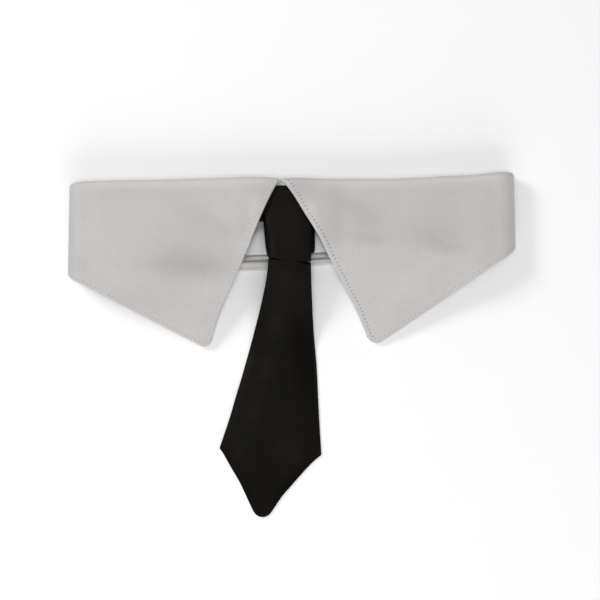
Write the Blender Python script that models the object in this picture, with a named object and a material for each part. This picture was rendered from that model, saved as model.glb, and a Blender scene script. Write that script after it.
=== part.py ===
"""A detached shirt collar with a made-up tie, laid flat on its back.

The collar is a ring pressed flat. The two wings of the leaf and the front of the stand lie on top, and the
back half lies under them, with the neck hollow between. The stand's ends lap at the front and are held by
a button behind the knot. The tie's strap runs round the stand under the leaf, and its knot and blade lie
over the front. +X is to the right of the front, +Y runs from the blade's tip to the collar's roll, and +Z
is up from the surface. Sizes are in millimetres until a mesh is made.
"""

import math

import bpy
from mathutils import Vector

MM = 0.001

# Cloth walls, and the space that sewn pieces keep.
COLLAR_CLOTH = 1.2
SATIN = 1.0
SEAM = 0.3

# Radii of the side folds, to the middle of each wall, from the neck hollow outwards.
NECK_GAP = 6.2
STAND_FOLD = NECK_GAP / 2 + COLLAR_CLOTH / 2
STRAP_FOLD = STAND_FOLD + COLLAR_CLOTH / 2 + SEAM + SATIN / 2
LEAF_FOLD = STRAP_FOLD + SATIN / 2 + SEAM + COLLAR_CLOTH / 2
MID_HEIGHT = LEAF_FOLD + COLLAR_CLOTH / 2
STAND_FACE = MID_HEIGHT + STAND_FOLD + COLLAR_CLOTH / 2

# The flattened ring, seen from above.
HALF_WIDTH = 100.0
FOLD_X = HALF_WIDTH - MID_HEIGHT
FOLD_TURN = math.pi * LEAF_FOLD
FRONT_CENTRE_X = -5.7
BACK_CENTRE_X = 5.7
BACK_SAG = 1.6
FLARE = 0.02

# The roll, where the leaf turns over to meet the stand's top edge.
ROLL = (LEAF_FOLD - STAND_FOLD) / 2
ROLL_OUTER = ROLL + COLLAR_CLOTH / 2
LIP = 1.5

# Outer edge of the roll along the front: x, y.
FRONT_TOP = [
    (-100.0, 72.3), (-92, 73.1), (-60, 73.7), (-36, 74.4), (-20, 75.0), (-9, 74.7), (-5.7, 74.3),
    (2, 74.6), (12, 74.2), (34, 74.1), (48, 74.1), (66, 75.2), (80, 75.8), (94, 77.1), (100.0, 77.2),
]

# Lower edge of the stand, and of the leaf where it passes round the back (x, y).
STAND_BOTTOM = [(-100.0, 34.6), (-19, 37.4), (13, 38.6), (60, 41.6), (100.0, 46.0)]
STAND_BACK_RISE = 0.6
LEAF_BACK_BOTTOM = [(-100.0, 32.8), (-60, 31.9), (-18, 32.9), (13, 35.3), (60, 39.6), (100.0, 44.4)]

# Each wing: its front edge from the roll to the tip's corner (x, y), and the line of its lower edge.
LEFT_WING = {
    "side": -1,
    "edge": [(-6.5, 72.3), (-10.3, 64.6), (-13.5, 57.4), (-17.2, 48.6), (-18.8, 44.2), (-20.7, 40.1),
             (-23.2, 34.0), (-24.7, 31.0), (-27.2, 25.5), (-30.8, 17.8), (-33.6, 10.6), (-37.4, -2.7)],
    "tip_radius": 3.5,
    "lower_slope": 0.526,
}
RIGHT_WING = {
    "side": 1,
    "edge": [(-3.2, 72.3), (0.3, 67.3), (5.3, 59.2), (12.1, 48.4), (18.6, 35.4), (27.8, 17.8),
             (31.3, 10.2), (36.1, -2.2)],
    "tip_radius": 4.8,
    "lower_slope": 0.694,
}
EDGE_ROUNDING = 4.0

# The wings bend down past the stand's lower edge, and reach the surface at their tips.
DROOP_SLOPE = 0.40
DROOP_BEND = 8.0
DROOP_FADE = 24.0
RESTING_SOFTNESS = 0.8

# How far the wings are lifted where they lie on the knot: y, lift.
KNOT_LIFT = [(72.3, 0.0), (70.6, 0.7), (67, 2.2), (63, 3.6), (59, 4.4), (53, 4.9), (47, 4.0), (40, 1.4), (32, 0)]
KNOT_LIFT_LEFT = -13.0
KNOT_LIFT_RIGHT = 10.5
KNOT_LIFT_FADE = 14.0

# The wings stand this far off the strap between their folds.
LOFT = 0.6

# Soft troughs in the wings: from and to, half-width and depth. A ridge has a negative depth.
TROUGH_COLUMNS = ("x0", "y0", "x1", "y1", "half_width", "depth")
TROUGHS = [
    (-53, 68, -24, 51, 6.0, 0.5),
    (-71, 37, -30, 36, 5.0, 0.6),
    (-65, 31, -57, 17, 5.0, 0.45),
    (-50, 24, -40, 10, 6.0, -0.35),
    (24, 68, 37, 58, 6.0, 0.5),
    (28, 47.5, 42, 49.5, 4.0, 0.45),
    (60, 47, 82, 43, 5.0, 0.5),
    (50, 25, 42, 12, 7.0, -0.4),
    (40, 38, 62, 33, 7.0, 0.35),
]

# The stand's ends lap behind the knot: the right end over the left one, with a button.
OVER_END_X = -9.7
UNDER_END_X = 9.0
LAP_SLOPE = 6.0
BUTTON_X, BUTTON_Y = -1.0, 47.6
BUTTON_RADIUS = 5.2
BUTTON_THICK = 1.8
BUTTON_RIM = 0.5
BUTTON_HOLE = 0.85
BUTTON_HOLE_OUT = 1.7

# The strap that carries the tie.
STRAP_BELOW_ROLL = 5.2
STRAP_WIDTH = 12.8

# The knot: wrap sections from top to mouth. crown is the height of the wall's middle, drop is how far the
# sides come down from it, and slant is how much lower the section's right end lies.
KNOT_COLUMNS = ("y", "left", "right", "crown", "drop", "slant")
KNOT = [
    (71.0, -13.6, 9.8, 12.2, 0.0, 0.0),
    (69.6, -13.6, 9.8, 12.6, 0.0, 0.0),
    (67.4, -13.4, 9.7, 13.6, 0.1, 0.0),
    (64.0, -13.0, 9.5, 15.1, 0.4, 0.0),
    (60.0, -12.6, 9.3, 16.4, 0.9, 0.2),
    (54.0, -12.1, 9.7, 17.5, 2.1, 0.6),
    (48.0, -11.6, 9.9, 18.6, 3.2, 1.1),
    (43.1, -11.1, 9.7, 19.6, 4.2, 1.6),
    (42.1, -10.9, 8.5, 19.7, 4.3, 1.7),
    (39.1, -10.4, 8.2, 20.0, 4.6, 2.2),
]
KNOT_SQUARENESS = 3.2
KNOT_BACK_CORNERS = [(-12.6, 60.0), (9.6, 60.0), (8.9, 41.5), (-11.4, 41.0)]
KNOT_BACK_UNDER = STAND_FACE + BUTTON_THICK + 2 * SEAM

# The blade: its two edges from inside the knot to the shoulders, and its point (x, y). It fills the knot's
# mouth, and spreads to the knot's full width as it leaves it.
BLADE_LEFT = [(-7.8, 50), (-8.7, 41), (-9.4, 39.2), (-10.5, 38.2), (-10.8, 33.5), (-12.2, 25), (-15.6, 10.6),
              (-21.5, -11), (-25.8, -25.4), (-28.3, -34), (-32.8, -47.4)]
BLADE_RIGHT = [(5.0, 50), (6.1, 39.5), (6.4, 37.0), (7.6, 36.2), (8.3, 35.0), (8.7, 32.5), (8.9, 25), (9.8, 7),
               (11.3, -11), (12.2, -30), (13.4, -50.4)]
BLADE_POINT = [(-32.8, -47.4), (-31.2, -49.6), (-28.1, -55.2), (-23.5, -63.0), (-14.0, -83.5), (-4.4, -69.1),
               (6.5, -56.7), (10.3, -52.9), (13.4, -50.4)]
BLADE_POINT_RADIUS = 4.6
BLADE_THICK = 2.6
BLADE_EDGE = 1.0
BLADE_IN_KNOT = 1.3
BLADE_MOUTH_RISE = 1.1
BLADE_MOUTH_LENGTH = 8.0
BLADE_LEAVES_KNOT = 38.0
BLADE_LANDS = -6.0
BLADE_NECK_UNDER = KNOT_BACK_UNDER + SATIN + SEAM

# Rows and columns of the meshes. The blade's rows are given by shares of its length, close at the mouth.
WING_COLUMNS, FOLD_COLUMNS, BACK_COLUMNS = 18, 8, 9
LEAF_ROWS, ROLL_ROWS = 13, 6
STAND_ROWS, STRAP_ROWS = 4, 2
KNOT_COLUMNS_ACROSS = 18
BLADE_ROWS = [(0, 0), (0.09, 3), (0.15, 10), (1, 30)]
BLADE_COLUMNS = 20

WHITE_COTTON = (0.62, 0.61, 0.60)
BLACK_SATIN = (0.012, 0.011, 0.010)
WHITE_BUTTON = (0.80, 0.79, 0.76)


def clear_scene():
    for obj in list(bpy.data.objects):
        bpy.data.objects.remove(obj)


def mix(a, b, share):
    return a + (b - a) * share


def ease(value):
    """Smooth step from 0 at 0 to 1 at 1."""
    value = min(max(value, 0.0), 1.0)
    return value * value * (3 - 2 * value)


def through(table, x):
    """Value at x of a smooth line through (x, value) pairs, in rising or falling x."""
    points = table if table[0][0] < table[-1][0] else table[::-1]
    x = min(max(x, points[0][0]), points[-1][0])
    i = max(k for k in range(len(points) - 1) if points[k][0] <= x)

    def slope(k):
        before, after = points[max(k - 1, 0)], points[min(k + 1, len(points) - 1)]
        return (after[1] - before[1]) / (after[0] - before[0])

    (x0, y0), (x1, y1) = points[i], points[i + 1]
    span = x1 - x0
    t = (x - x0) / span
    rise = (2 * t**3 - 3 * t**2 + 1) * y0 + (3 * t**2 - 2 * t**3) * y1
    return rise + (t**3 - 2 * t**2 + t) * span * slope(i) + (t**3 - t**2) * span * slope(i + 1)


def at_share(line, share):
    """Point at a share of the length of a line of points."""
    lengths = [(b - a).length for a, b in zip(line, line[1:])]
    left = min(max(share, 0.0), 1.0) * sum(lengths)
    for a, b, length in zip(line, line[1:], lengths):
        if left <= length:
            return a.lerp(b, left / length)
        left -= length
    return line[-1].copy()


def smooth_outline(points, steps=6):
    """Catmull-Rom curve through a few outline points, as a denser line."""
    points = [Vector(p) for p in points]
    padded = [2 * points[0] - points[1], *points, 2 * points[-1] - points[-2]]
    line = []
    for a, b, c, d in zip(padded, padded[1:], padded[2:], padded[3:]):
        for k in range(steps):
            t = k / steps
            line.append(0.5 * (2 * b + (c - a) * t + (2 * a - 5 * b + 4 * c - d) * t**2
                               + (3 * b - a - 3 * c + d) * t**3))
    return line + [points[-1]]


def corner_arc(before, corner, after, radius, steps=8):
    """Points of the arc that rounds a corner between two straight edges."""
    to_before, to_after = (before - corner).normalized(), (after - corner).normalized()
    half = to_before.angle(to_after) / 2
    middle = corner + (to_before + to_after).normalized() * (radius / math.sin(half))
    start = corner + to_before * (radius / math.tan(half)) - middle
    end = corner + to_after * (radius / math.tan(half)) - middle
    return [middle + radius * start.slerp(end, k / steps).normalized() for k in range(steps + 1)]


def ring(s, fold, flare=0.0):
    """(x, z) on the flattened ring. s is x along the front, and goes on round a side fold to the back."""
    side = math.copysign(1, s)
    past = abs(s) - FOLD_X
    turn = min(max(past / LEAF_FOLD, 0), math.pi)
    back = max(past - math.pi * LEAF_FOLD, 0)
    x = side * (min(abs(s), FOLD_X) - back + (fold + flare) * math.sin(turn))
    return x, MID_HEIGHT + fold * math.cos(turn)


def spread(stops):
    """Places along a line: each stop, and the steps up to it from the stop before."""
    places = [stops[0][0]]
    for (a, _), (b, columns) in zip(stops, stops[1:]):
        places += [mix(a, b, k / columns) for k in range(1, columns + 1)]
    return places


def behind(x, side):
    """The ring's s of a place at x on the back, reached round that side's fold."""
    return side * (2 * FOLD_X + math.pi * LEAF_FOLD) - x


def on_front(s):
    return abs(s) <= FOLD_X + LEAF_FOLD * math.pi / 2


def top_line(s):
    """y of the roll's outer edge."""
    x = ring(s, LEAF_FOLD)[0]
    if on_front(s):
        return through(FRONT_TOP, x)
    straight = mix(FRONT_TOP[0][1], FRONT_TOP[-1][1], (x + HALF_WIDTH) / (2 * HALF_WIDTH))
    return straight - BACK_SAG * max(1 - (x / FOLD_X) ** 2, 0)


def roll_line(s):
    """y of the roll's centre, where the leaf starts and the roll turns."""
    return top_line(s) - ROLL_OUTER


def stand_bottom(s):
    x = ring(s, STAND_FOLD)[0]
    rise = 0 if on_front(s) else STAND_BACK_RISE * max(1 - (x / FOLD_X) ** 2, 0)
    return through(STAND_BOTTOM, x) + rise


def knot_lift(x, y):
    outside = max(KNOT_LIFT_LEFT - x, x - KNOT_LIFT_RIGHT, 0)
    return through(KNOT_LIFT, y) * (1 - ease(outside / KNOT_LIFT_FADE))


def droop(x, y):
    below = max(stand_bottom(x) - y, 0)
    fade = ease((FOLD_X - abs(x)) / DROOP_FADE)
    return DROOP_SLOPE * (math.hypot(below, DROOP_BEND) - DROOP_BEND) * fade


def resting(z):
    """Height of a wall's middle that never sinks below the surface it lies on."""
    above = (z - COLLAR_CLOTH / 2) / RESTING_SOFTNESS
    return COLLAR_CLOTH / 2 + RESTING_SOFTNESS * (above + math.hypot(above, 0.4)) / 2


def trough_depth(x, y):
    place, depth = Vector((x, y)), 0.0
    for row in TROUGHS:
        t = dict(zip(TROUGH_COLUMNS, row))
        start, end = Vector((t["x0"], t["y0"])), Vector((t["x1"], t["y1"]))
        along = (place - start).dot(end - start) / (end - start).length_squared
        near = start.lerp(end, min(max(along, 0), 1))
        depth += t["depth"] * math.exp(-(((place - near).length / t["half_width"]) ** 2))
    return depth


def leaf_surface(s, depth):
    """Middle of the leaf's wall. depth runs down from the roll's centre, and is negative round the roll."""
    y = roll_line(s)
    if depth >= 0:
        y -= depth
        x, z = ring(s, LEAF_FOLD, FLARE * depth)
        if abs(s) < FOLD_X:
            fade = ease((FOLD_X - abs(s)) / 10) * ease(depth / 8)
            z = resting(z + knot_lift(s, y) - droop(s, y) + (LOFT - trough_depth(s, y)) * fade)
        return Vector((x, y, z))
    turn = -depth / ROLL
    if turn < math.pi:
        x, z = ring(s, LEAF_FOLD - ROLL * (1 - math.cos(turn)))
        return Vector((x, y + ROLL * math.sin(turn), z))
    x, z = ring(s, STAND_FOLD)
    return Vector((x, y + depth + math.pi * ROLL, z))


def wing_outline(wing):
    """(front edge, lower edge) of a wing, as lines that meet halfway round the tip."""
    side = wing["side"]
    edge = [Vector(p) for p in wing["edge"]]
    corner = edge[-1]
    fold = Vector((side * FOLD_X, corner.y + wing["lower_slope"] * (FOLD_X - abs(corner.x))))
    arc = corner_arc(edge[-2], corner, fold, wing["tip_radius"])
    half = len(arc) // 2
    front = smooth_outline([*edge[:-1], arc[0]]) + arc[1:half + 1]
    return front, [*arc[half:], fold]


def lower_edge(wing, s, fold_y):
    """y of the leaf's lower edge past the fold: the wing's line, rounded into the back's edge."""
    line = fold_y + wing["lower_slope"] * (abs(s) - FOLD_X)
    level = through(LEAF_BACK_BOTTOM, ring(s, LEAF_FOLD)[0])
    gap = (line - level) / EDGE_ROUNDING
    return level + EDGE_ROUNDING * (gap - math.hypot(gap, 0.5)) / 2


def even_line(line, steps):
    """The line again, as points at equal distances."""
    return [at_share(line, k / steps) for k in range(steps + 1)]


def coons(top, bottom, first, last, u, v):
    """Point of the patch that four edge lines bound. u runs along top and bottom, v along the sides."""
    a, b = at_share(top, u), at_share(bottom, u)
    c, d = at_share(first, v), at_share(last, v)
    corners = (top[0] * (1 - u) + top[-1] * u) * (1 - v) + (bottom[0] * (1 - u) + bottom[-1] * u) * v
    return a * (1 - v) + b * v + c * (1 - u) + d * u - corners


def half_leaf_grid(wing):
    """Rows of points of the leaf's middle, from a wing's front edge round its fold to the centre back."""
    side = wing["side"]
    front, lower = wing_outline(wing)
    fold_y = lower[-1].y
    start = front[0].x
    tops = [Vector((s, roll_line(s))) for s in spread([(start, 0), (side * FOLD_X, 40)])]
    fold = [tops[-1], lower[-1]]
    fold_end = side * (FOLD_X + FOLD_TURN)
    past = spread([(side * FOLD_X, 0), (fold_end, FOLD_COLUMNS), (behind(BACK_CENTRE_X, side), BACK_COLUMNS)])[1:]
    seam = FRONT_CENTRE_X + side * SEAM / 2
    rows = []
    for k in range(ROLL_ROWS + 1, 0, -1):
        depth = -math.pi * ROLL * min(k, ROLL_ROWS) / ROLL_ROWS - LIP * (k > ROLL_ROWS)
        close = min(-depth / (math.pi * ROLL / 2), 1)
        edge = mix(start, seam, close)
        rows.append([leaf_surface(s, depth) for s in spread([(edge, 0), (side * FOLD_X, WING_COLUMNS)]) + past])
    for k in range(LEAF_ROWS + 1):
        v = k / LEAF_ROWS
        plan = [coons(tops, lower, front, fold, c / WING_COLUMNS, v) for c in range(WING_COLUMNS + 1)]
        plan += [Vector((s, mix(roll_line(s), lower_edge(wing, s, fold_y), v))) for s in past]
        rows.append([leaf_surface(p.x, max(roll_line(p.x) - p.y, 0)) for p in plan])
    return rows


def leaf_grid():
    """The whole leaf, from the left wing's front edge round the back to the right wing's."""
    halves = zip(half_leaf_grid(LEFT_WING), half_leaf_grid(RIGHT_WING))
    return [left + right[-2::-1] for left, right in halves]


def stand_grid():
    """The stand, from its under end round the left side, the back and the right side to its over end."""
    low = OVER_END_X - SEAM
    left = spread([(UNDER_END_X, 0), (low, 4), (low - LAP_SLOPE, 4), (-FOLD_X, WING_COLUMNS - 2),
                   (-FOLD_X - FOLD_TURN, FOLD_COLUMNS), (behind(BACK_CENTRE_X, -1), BACK_COLUMNS)])
    right = spread([(OVER_END_X, 0), (FOLD_X, WING_COLUMNS), (FOLD_X + FOLD_TURN, FOLD_COLUMNS),
                    (behind(BACK_CENTRE_X, 1), BACK_COLUMNS)])
    step = COLLAR_CLOTH + SEAM
    places = [(s, STAND_FOLD - step * ease((s - low + LAP_SLOPE) / LAP_SLOPE)) for s in left]
    places += [(s, STAND_FOLD) for s in right[-2::-1]]
    rows = []
    for k in range(STAND_ROWS + 1):
        row = []
        for s, fold in places:
            x, z = ring(s, fold)
            row.append(Vector((x, mix(roll_line(s) - LIP - SEAM, stand_bottom(s), k / STAND_ROWS), z)))
        rows.append(row)
    return rows


def strap_grid():
    """The strap, as a closed loop round the stand."""
    left, right = (
        spread([(0, 0), (side * FOLD_X, 8), (side * (FOLD_X + FOLD_TURN), FOLD_COLUMNS),
                (behind(BACK_CENTRE_X, side), 8)]) for side in (-1, 1)
    )
    rows = []
    for k in range(STRAP_ROWS + 1):
        row = []
        for s in left + right[-2:0:-1]:
            x, z = ring(s, STRAP_FOLD)
            row.append(Vector((x, roll_line(s) - STRAP_BELOW_ROLL - STRAP_WIDTH * k / STRAP_ROWS, z)))
        rows.append(row)
    return rows


def knot_grid():
    """Rows of the wrap's middle: a flat arch with rounded shoulders, deeper towards the mouth."""
    rows = []
    for values in KNOT:
        c = dict(zip(KNOT_COLUMNS, values))
        half, middle = (c["right"] - c["left"]) / 2, (c["right"] + c["left"]) / 2
        row = []
        for k in range(KNOT_COLUMNS_ACROSS + 1):
            angle = math.pi * (1 - k / KNOT_COLUMNS_ACROSS)
            across = math.copysign(abs(math.cos(angle)) ** (2 / KNOT_SQUARENESS), math.cos(angle))
            up = math.sin(angle) ** (2 / KNOT_SQUARENESS) if 0 < k < KNOT_COLUMNS_ACROSS else 0.0
            y = c["y"] - c["slant"] * (across + 1) / 2
            row.append(Vector((middle + half * across, y, c["crown"] - c["drop"] * (1 - up))))
        rows.append(row)
    return rows


def knot_back_grid():
    a, b, c, d = (Vector((x, y, KNOT_BACK_UNDER + SATIN / 2)) for x, y in KNOT_BACK_CORNERS)
    return [[a.lerp(b, k / 4).lerp(d.lerp(c, k / 4), row / 4) for k in range(5)] for row in range(5)]


def blade_under(y):
    """Height of the blade's underside: level in the knot, then down to the surface."""
    return BLADE_NECK_UNDER * (1 - ease((BLADE_LEAVES_KNOT - y) / (BLADE_LEAVES_KNOT - BLADE_LANDS)))


def blade_grids():
    """(upper, lower) rows of points. The blade is crowned, and thinner along its edges and in the knot."""
    corner = max(range(len(BLADE_POINT)), key=lambda k: -BLADE_POINT[k][1])
    before, tip, after = (Vector(BLADE_POINT[corner + k]) for k in (-1, 0, 1))
    arc = corner_arc(before, tip, after, BLADE_POINT_RADIUS)
    left_point = even_line([*map(Vector, BLADE_POINT[:corner]), *arc[:5]], BLADE_COLUMNS // 2)
    right_point = even_line([*arc[4:], *map(Vector, BLADE_POINT[corner + 1:])], BLADE_COLUMNS // 2)
    left, right = smooth_outline(BLADE_LEFT), smooth_outline(BLADE_RIGHT)
    upper, lower = [], []
    for v in spread(BLADE_ROWS):
        top_row, under_row = [], []
        for k in range(BLADE_COLUMNS + 1):
            u = k / BLADE_COLUMNS
            neck, point = left[0].lerp(right[0], u), (left_point + right_point[1:])[k]
            sides = at_share(left, v).lerp(at_share(right, v), u)
            straight = neck.lerp(left[-1].lerp(right[-1], u), v)
            plan = neck.lerp(point, v) + sides - straight
            under = blade_under(plan.y)
            mouth = math.exp(-(((plan.y - BLADE_LEAVES_KNOT) / BLADE_MOUTH_LENGTH) ** 2))
            full = mix(BLADE_IN_KNOT, BLADE_THICK, ease((50 - plan.y) / 12)) + BLADE_MOUTH_RISE * mouth
            crown = (1 - abs(2 * u - 1) ** 4) * (1 - v**16)
            thick = mix(BLADE_EDGE, full, crown)
            under_row.append(Vector((plan.x, plan.y, under)))
            top_row.append(Vector((plan.x, plan.y, under + thick)))
        upper.append(top_row)
        lower.append(under_row)
    return upper, lower


def material(name, colour, roughness):
    found = bpy.data.materials.get(name)
    if found:
        return found
    made = bpy.data.materials.new(name)
    made.use_nodes = True
    shader = made.node_tree.nodes["Principled BSDF"]
    shader.inputs["Base Color"].default_value = (*colour, 1)
    shader.inputs["Roughness"].default_value = roughness
    shader.inputs["Metallic"].default_value = 0
    return made


def add_object(name, points, faces, finish):
    mesh = bpy.data.meshes.new(name)
    mesh.from_pydata([p * MM for p in points], [], faces)
    mesh.materials.append(finish)
    mesh.shade_smooth()
    mesh.set_sharp_from_angle(angle=math.radians(40))
    obj = bpy.data.objects.new(name, mesh)
    bpy.context.scene.collection.objects.link(obj)
    return obj


def grid_faces(rows, columns, first=0, closed=False):
    """Quads of a grid of points, row by row from index first. A closed grid's last column meets its first."""
    faces = []
    for r in range(rows - 1):
        for c in range(columns if closed else columns - 1):
            here, beside = first + r * columns + c, first + r * columns + (c + 1) % columns
            faces.append((here, here + columns, beside + columns, beside))
    return faces


def add_wall(name, grid, thickness, finish, closed=False):
    """Cloth wall whose middle is the grid."""
    points = [p for row in grid for p in row]
    obj = add_object(name, points, grid_faces(len(grid), len(grid[0]), closed=closed), finish)
    wall = obj.modifiers.new("Cloth", "SOLIDIFY")
    wall.thickness = thickness * MM
    wall.offset = 0
    wall.use_even_offset = True
    return obj


def add_slab(name, upper, lower, finish):
    """Closed solid between two grids that share their plan."""
    rows, columns = len(upper), len(upper[0])
    points = [p for grid in (upper, lower) for row in grid for p in row]
    below = rows * columns
    faces = grid_faces(rows, columns) + [f[::-1] for f in grid_faces(rows, columns, below)]
    rim = [c for c in range(columns)]
    rim += [r * columns + columns - 1 for r in range(1, rows)]
    rim += [(rows - 1) * columns + c for c in range(columns - 2, -1, -1)]
    rim += [r * columns for r in range(rows - 2, 0, -1)]
    faces += [(a, b, b + below, a + below) for a, b in zip(rim, rim[1:] + rim[:1])]
    return add_object(name, points, faces, finish)


def add_button(name, finish):
    """Shirt button with a softened rim and four holes, lying on the stand's over end."""
    centre = Vector((BUTTON_X, BUTTON_Y, STAND_FACE + SEAM + BUTTON_THICK / 2)) * MM
    bpy.ops.mesh.primitive_cylinder_add(
        vertices=32, radius=BUTTON_RADIUS * MM, depth=BUTTON_THICK * MM, location=centre
    )
    button = bpy.context.object
    button.name = name
    button.data.name = name
    rim = button.modifiers.new("Rim", "BEVEL")
    rim.width = BUTTON_RIM * MM
    rim.segments = 2
    rim.limit_method = "ANGLE"
    for k in range(4):
        angle = math.pi * (k + 0.5) / 2
        out = Vector((math.cos(angle), math.sin(angle), 0)) * BUTTON_HOLE_OUT * MM
        bpy.ops.mesh.primitive_cylinder_add(
            vertices=12, radius=BUTTON_HOLE * MM, depth=2 * BUTTON_THICK * MM, location=centre + out
        )
        hole = bpy.context.object
        cut = button.modifiers.new("Hole", "BOOLEAN")
        cut.operation = "DIFFERENCE"
        cut.solver = "EXACT"
        cut.object = hole
        bpy.context.view_layer.objects.active = button
        if k == 0:
            bpy.ops.object.modifier_apply(modifier=rim.name)
        bpy.ops.object.modifier_apply(modifier=cut.name)
        bpy.data.objects.remove(hole)
    button.data.materials.clear()
    button.data.materials.append(finish)
    return button


def main():
    clear_scene()
    cotton = material("collar_cotton", WHITE_COTTON, 0.85)
    satin = material("tie_satin", BLACK_SATIN, 0.42)
    add_wall("collar_leaf", leaf_grid(), COLLAR_CLOTH, cotton)
    add_wall("collar_stand", stand_grid(), COLLAR_CLOTH, cotton)
    add_button("stand_button", material("button_white", WHITE_BUTTON, 0.3))
    add_wall("tie_strap", strap_grid(), SATIN, satin, closed=True)
    add_wall("knot_back", knot_back_grid(), SATIN, satin)
    add_wall("knot_wrap", knot_grid(), SATIN, satin)
    add_slab("tie_blade", *blade_grids(), satin)


main()
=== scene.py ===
"""Looks of a detached shirt collar and its made-up tie, laid flat on a pale surface.

The collar is a ring pressed flat: both wings of the leaf and the front of the stand lie on top, and the back
half lies under them. A place on it is told by s, its distance along the ring from the front's middle, which
goes on round either side fold to the back, and by its depth below the centre of the roll. The sizes of the
cut are in millimetres, as in the solids, and meshes are made in metres.
"""

import math
import random

import bpy
import numpy as np
from bpy.props import FloatProperty, FloatVectorProperty, PointerProperty
from bpy.types import Operator, Panel, PropertyGroup
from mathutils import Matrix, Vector


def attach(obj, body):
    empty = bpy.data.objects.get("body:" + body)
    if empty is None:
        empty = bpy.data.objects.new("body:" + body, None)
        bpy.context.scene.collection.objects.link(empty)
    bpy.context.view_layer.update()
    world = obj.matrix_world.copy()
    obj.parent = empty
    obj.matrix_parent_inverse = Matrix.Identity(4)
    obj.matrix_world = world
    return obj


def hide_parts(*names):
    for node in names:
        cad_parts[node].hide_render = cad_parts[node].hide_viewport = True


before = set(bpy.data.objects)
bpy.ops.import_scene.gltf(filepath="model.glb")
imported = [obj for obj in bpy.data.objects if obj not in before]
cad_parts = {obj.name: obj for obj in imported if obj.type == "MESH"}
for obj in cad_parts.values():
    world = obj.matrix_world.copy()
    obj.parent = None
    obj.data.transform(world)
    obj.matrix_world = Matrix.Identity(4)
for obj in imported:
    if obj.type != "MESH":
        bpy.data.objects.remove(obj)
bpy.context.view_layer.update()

bl_info = {
    "name": "Collar with tie",
    "version": (1, 0, 0),
    "blender": (4, 5, 0),
    "location": "3D View > Sidebar > Collar",
    "description": "Sews a detached shirt collar and its made-up tie over their solids",
    "category": "Object",
}

MM = 0.001

# Cloth walls, and the space that sewn pieces keep.
COLLAR_CLOTH = 1.2
SATIN = 1.0
SEAM = 0.3

# Radii of the side folds, to the middle of each wall, from the neck hollow outwards.
NECK_GAP = 6.2
STAND_FOLD = NECK_GAP / 2 + COLLAR_CLOTH / 2
STRAP_FOLD = STAND_FOLD + COLLAR_CLOTH / 2 + SEAM + SATIN / 2
LEAF_FOLD = STRAP_FOLD + SATIN / 2 + SEAM + COLLAR_CLOTH / 2
MID_HEIGHT = LEAF_FOLD + COLLAR_CLOTH / 2
STAND_FACE = MID_HEIGHT + STAND_FOLD + COLLAR_CLOTH / 2

# The flattened ring, seen from above.
HALF_WIDTH = 100.0
FOLD_X = HALF_WIDTH - MID_HEIGHT
FOLD_TURN = math.pi * LEAF_FOLD
FRONT_CENTRE_X = -5.7
BACK_CENTRE_X = 5.7
BACK_SAG = 1.6
FLARE = 0.02

# The roll, where the leaf turns over to meet the stand's top edge.
ROLL = (LEAF_FOLD - STAND_FOLD) / 2
ROLL_OUTER = ROLL + COLLAR_CLOTH / 2
LIP = 1.5

# Outer edge of the roll along the front, and the lower edges of the stand and of the leaf's back: x, y.
FRONT_TOP = [
    (-100.0, 72.3), (-92, 73.1), (-60, 73.7), (-36, 74.4), (-20, 75.0), (-9, 74.7), (-5.7, 74.3),
    (2, 74.6), (12, 74.2), (34, 74.1), (48, 74.1), (66, 75.2), (80, 75.8), (94, 77.1), (100.0, 77.2),
]
STAND_BOTTOM = [(-100.0, 34.6), (-19, 37.4), (13, 38.6), (60, 41.6), (100.0, 46.0)]
STAND_BACK_RISE = 0.6
LEAF_BACK_BOTTOM = [(-100.0, 32.8), (-60, 31.9), (-18, 32.9), (13, 35.3), (60, 39.6), (100.0, 44.4)]

# Each wing: its front edge from the roll to the tip's corner (x, y), the slope of its lower edge, and how
# near its topstitching lies to the two edges, as shares of EDGE_SECTION's distances.
LEFT_WING = {
    "side": -1,
    "edge": [(-6.5, 72.3), (-10.3, 64.6), (-13.5, 57.4), (-17.2, 48.6), (-18.8, 44.2), (-20.7, 40.1),
             (-23.2, 34.0), (-24.7, 31.0), (-27.2, 25.5), (-30.8, 17.8), (-33.6, 10.6), (-37.4, -2.7)],
    "tip_radius": 3.5,
    "lower_slope": 0.526,
    "front_margin": 0.8,
    "lower_margin": 0.66,
}
RIGHT_WING = {
    "side": 1,
    "edge": [(-3.2, 72.3), (0.3, 67.3), (5.3, 59.2), (12.1, 48.4), (18.6, 35.4), (27.8, 17.8),
             (31.3, 10.2), (36.1, -2.2)],
    "tip_radius": 4.8,
    "lower_slope": 0.694,
    "front_margin": 0.95,
    "lower_margin": 0.66,
}
EDGE_ROUNDING = 4.0
EDGE_BEND = 0.5

# The wings bend down past the stand's lower edge, and reach the surface at their tips.
DROOP_SLOPE = 0.40
DROOP_BEND = 8.0
DROOP_FADE = 24.0
RESTING_SOFTNESS = 0.8
RESTING_BEND = 0.4

# How far the wings are lifted where they lie on the knot: y, lift.
KNOT_LIFT = [(72.3, 0), (70.6, 0.7), (67, 2.2), (63, 3.6), (59, 4.4), (53, 4.9), (47, 4), (40, 1.4), (32, 0)]
KNOT_LIFT_LEFT = -13.0
KNOT_LIFT_RIGHT = 10.5
KNOT_LIFT_FADE = 14.0

# The wings stand this far off the strap between their folds. All that shapes them fades out near the side
# folds and near the roll. The back's rise is slighter, and its ripples are shorter.
LOFT = 0.9
SIDE_FADE = 10
ROLL_FADE = 8
BACK_FADE = 12
BACK_LOFT = 0.09
BACK_RIPPLE = 1.6

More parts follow.
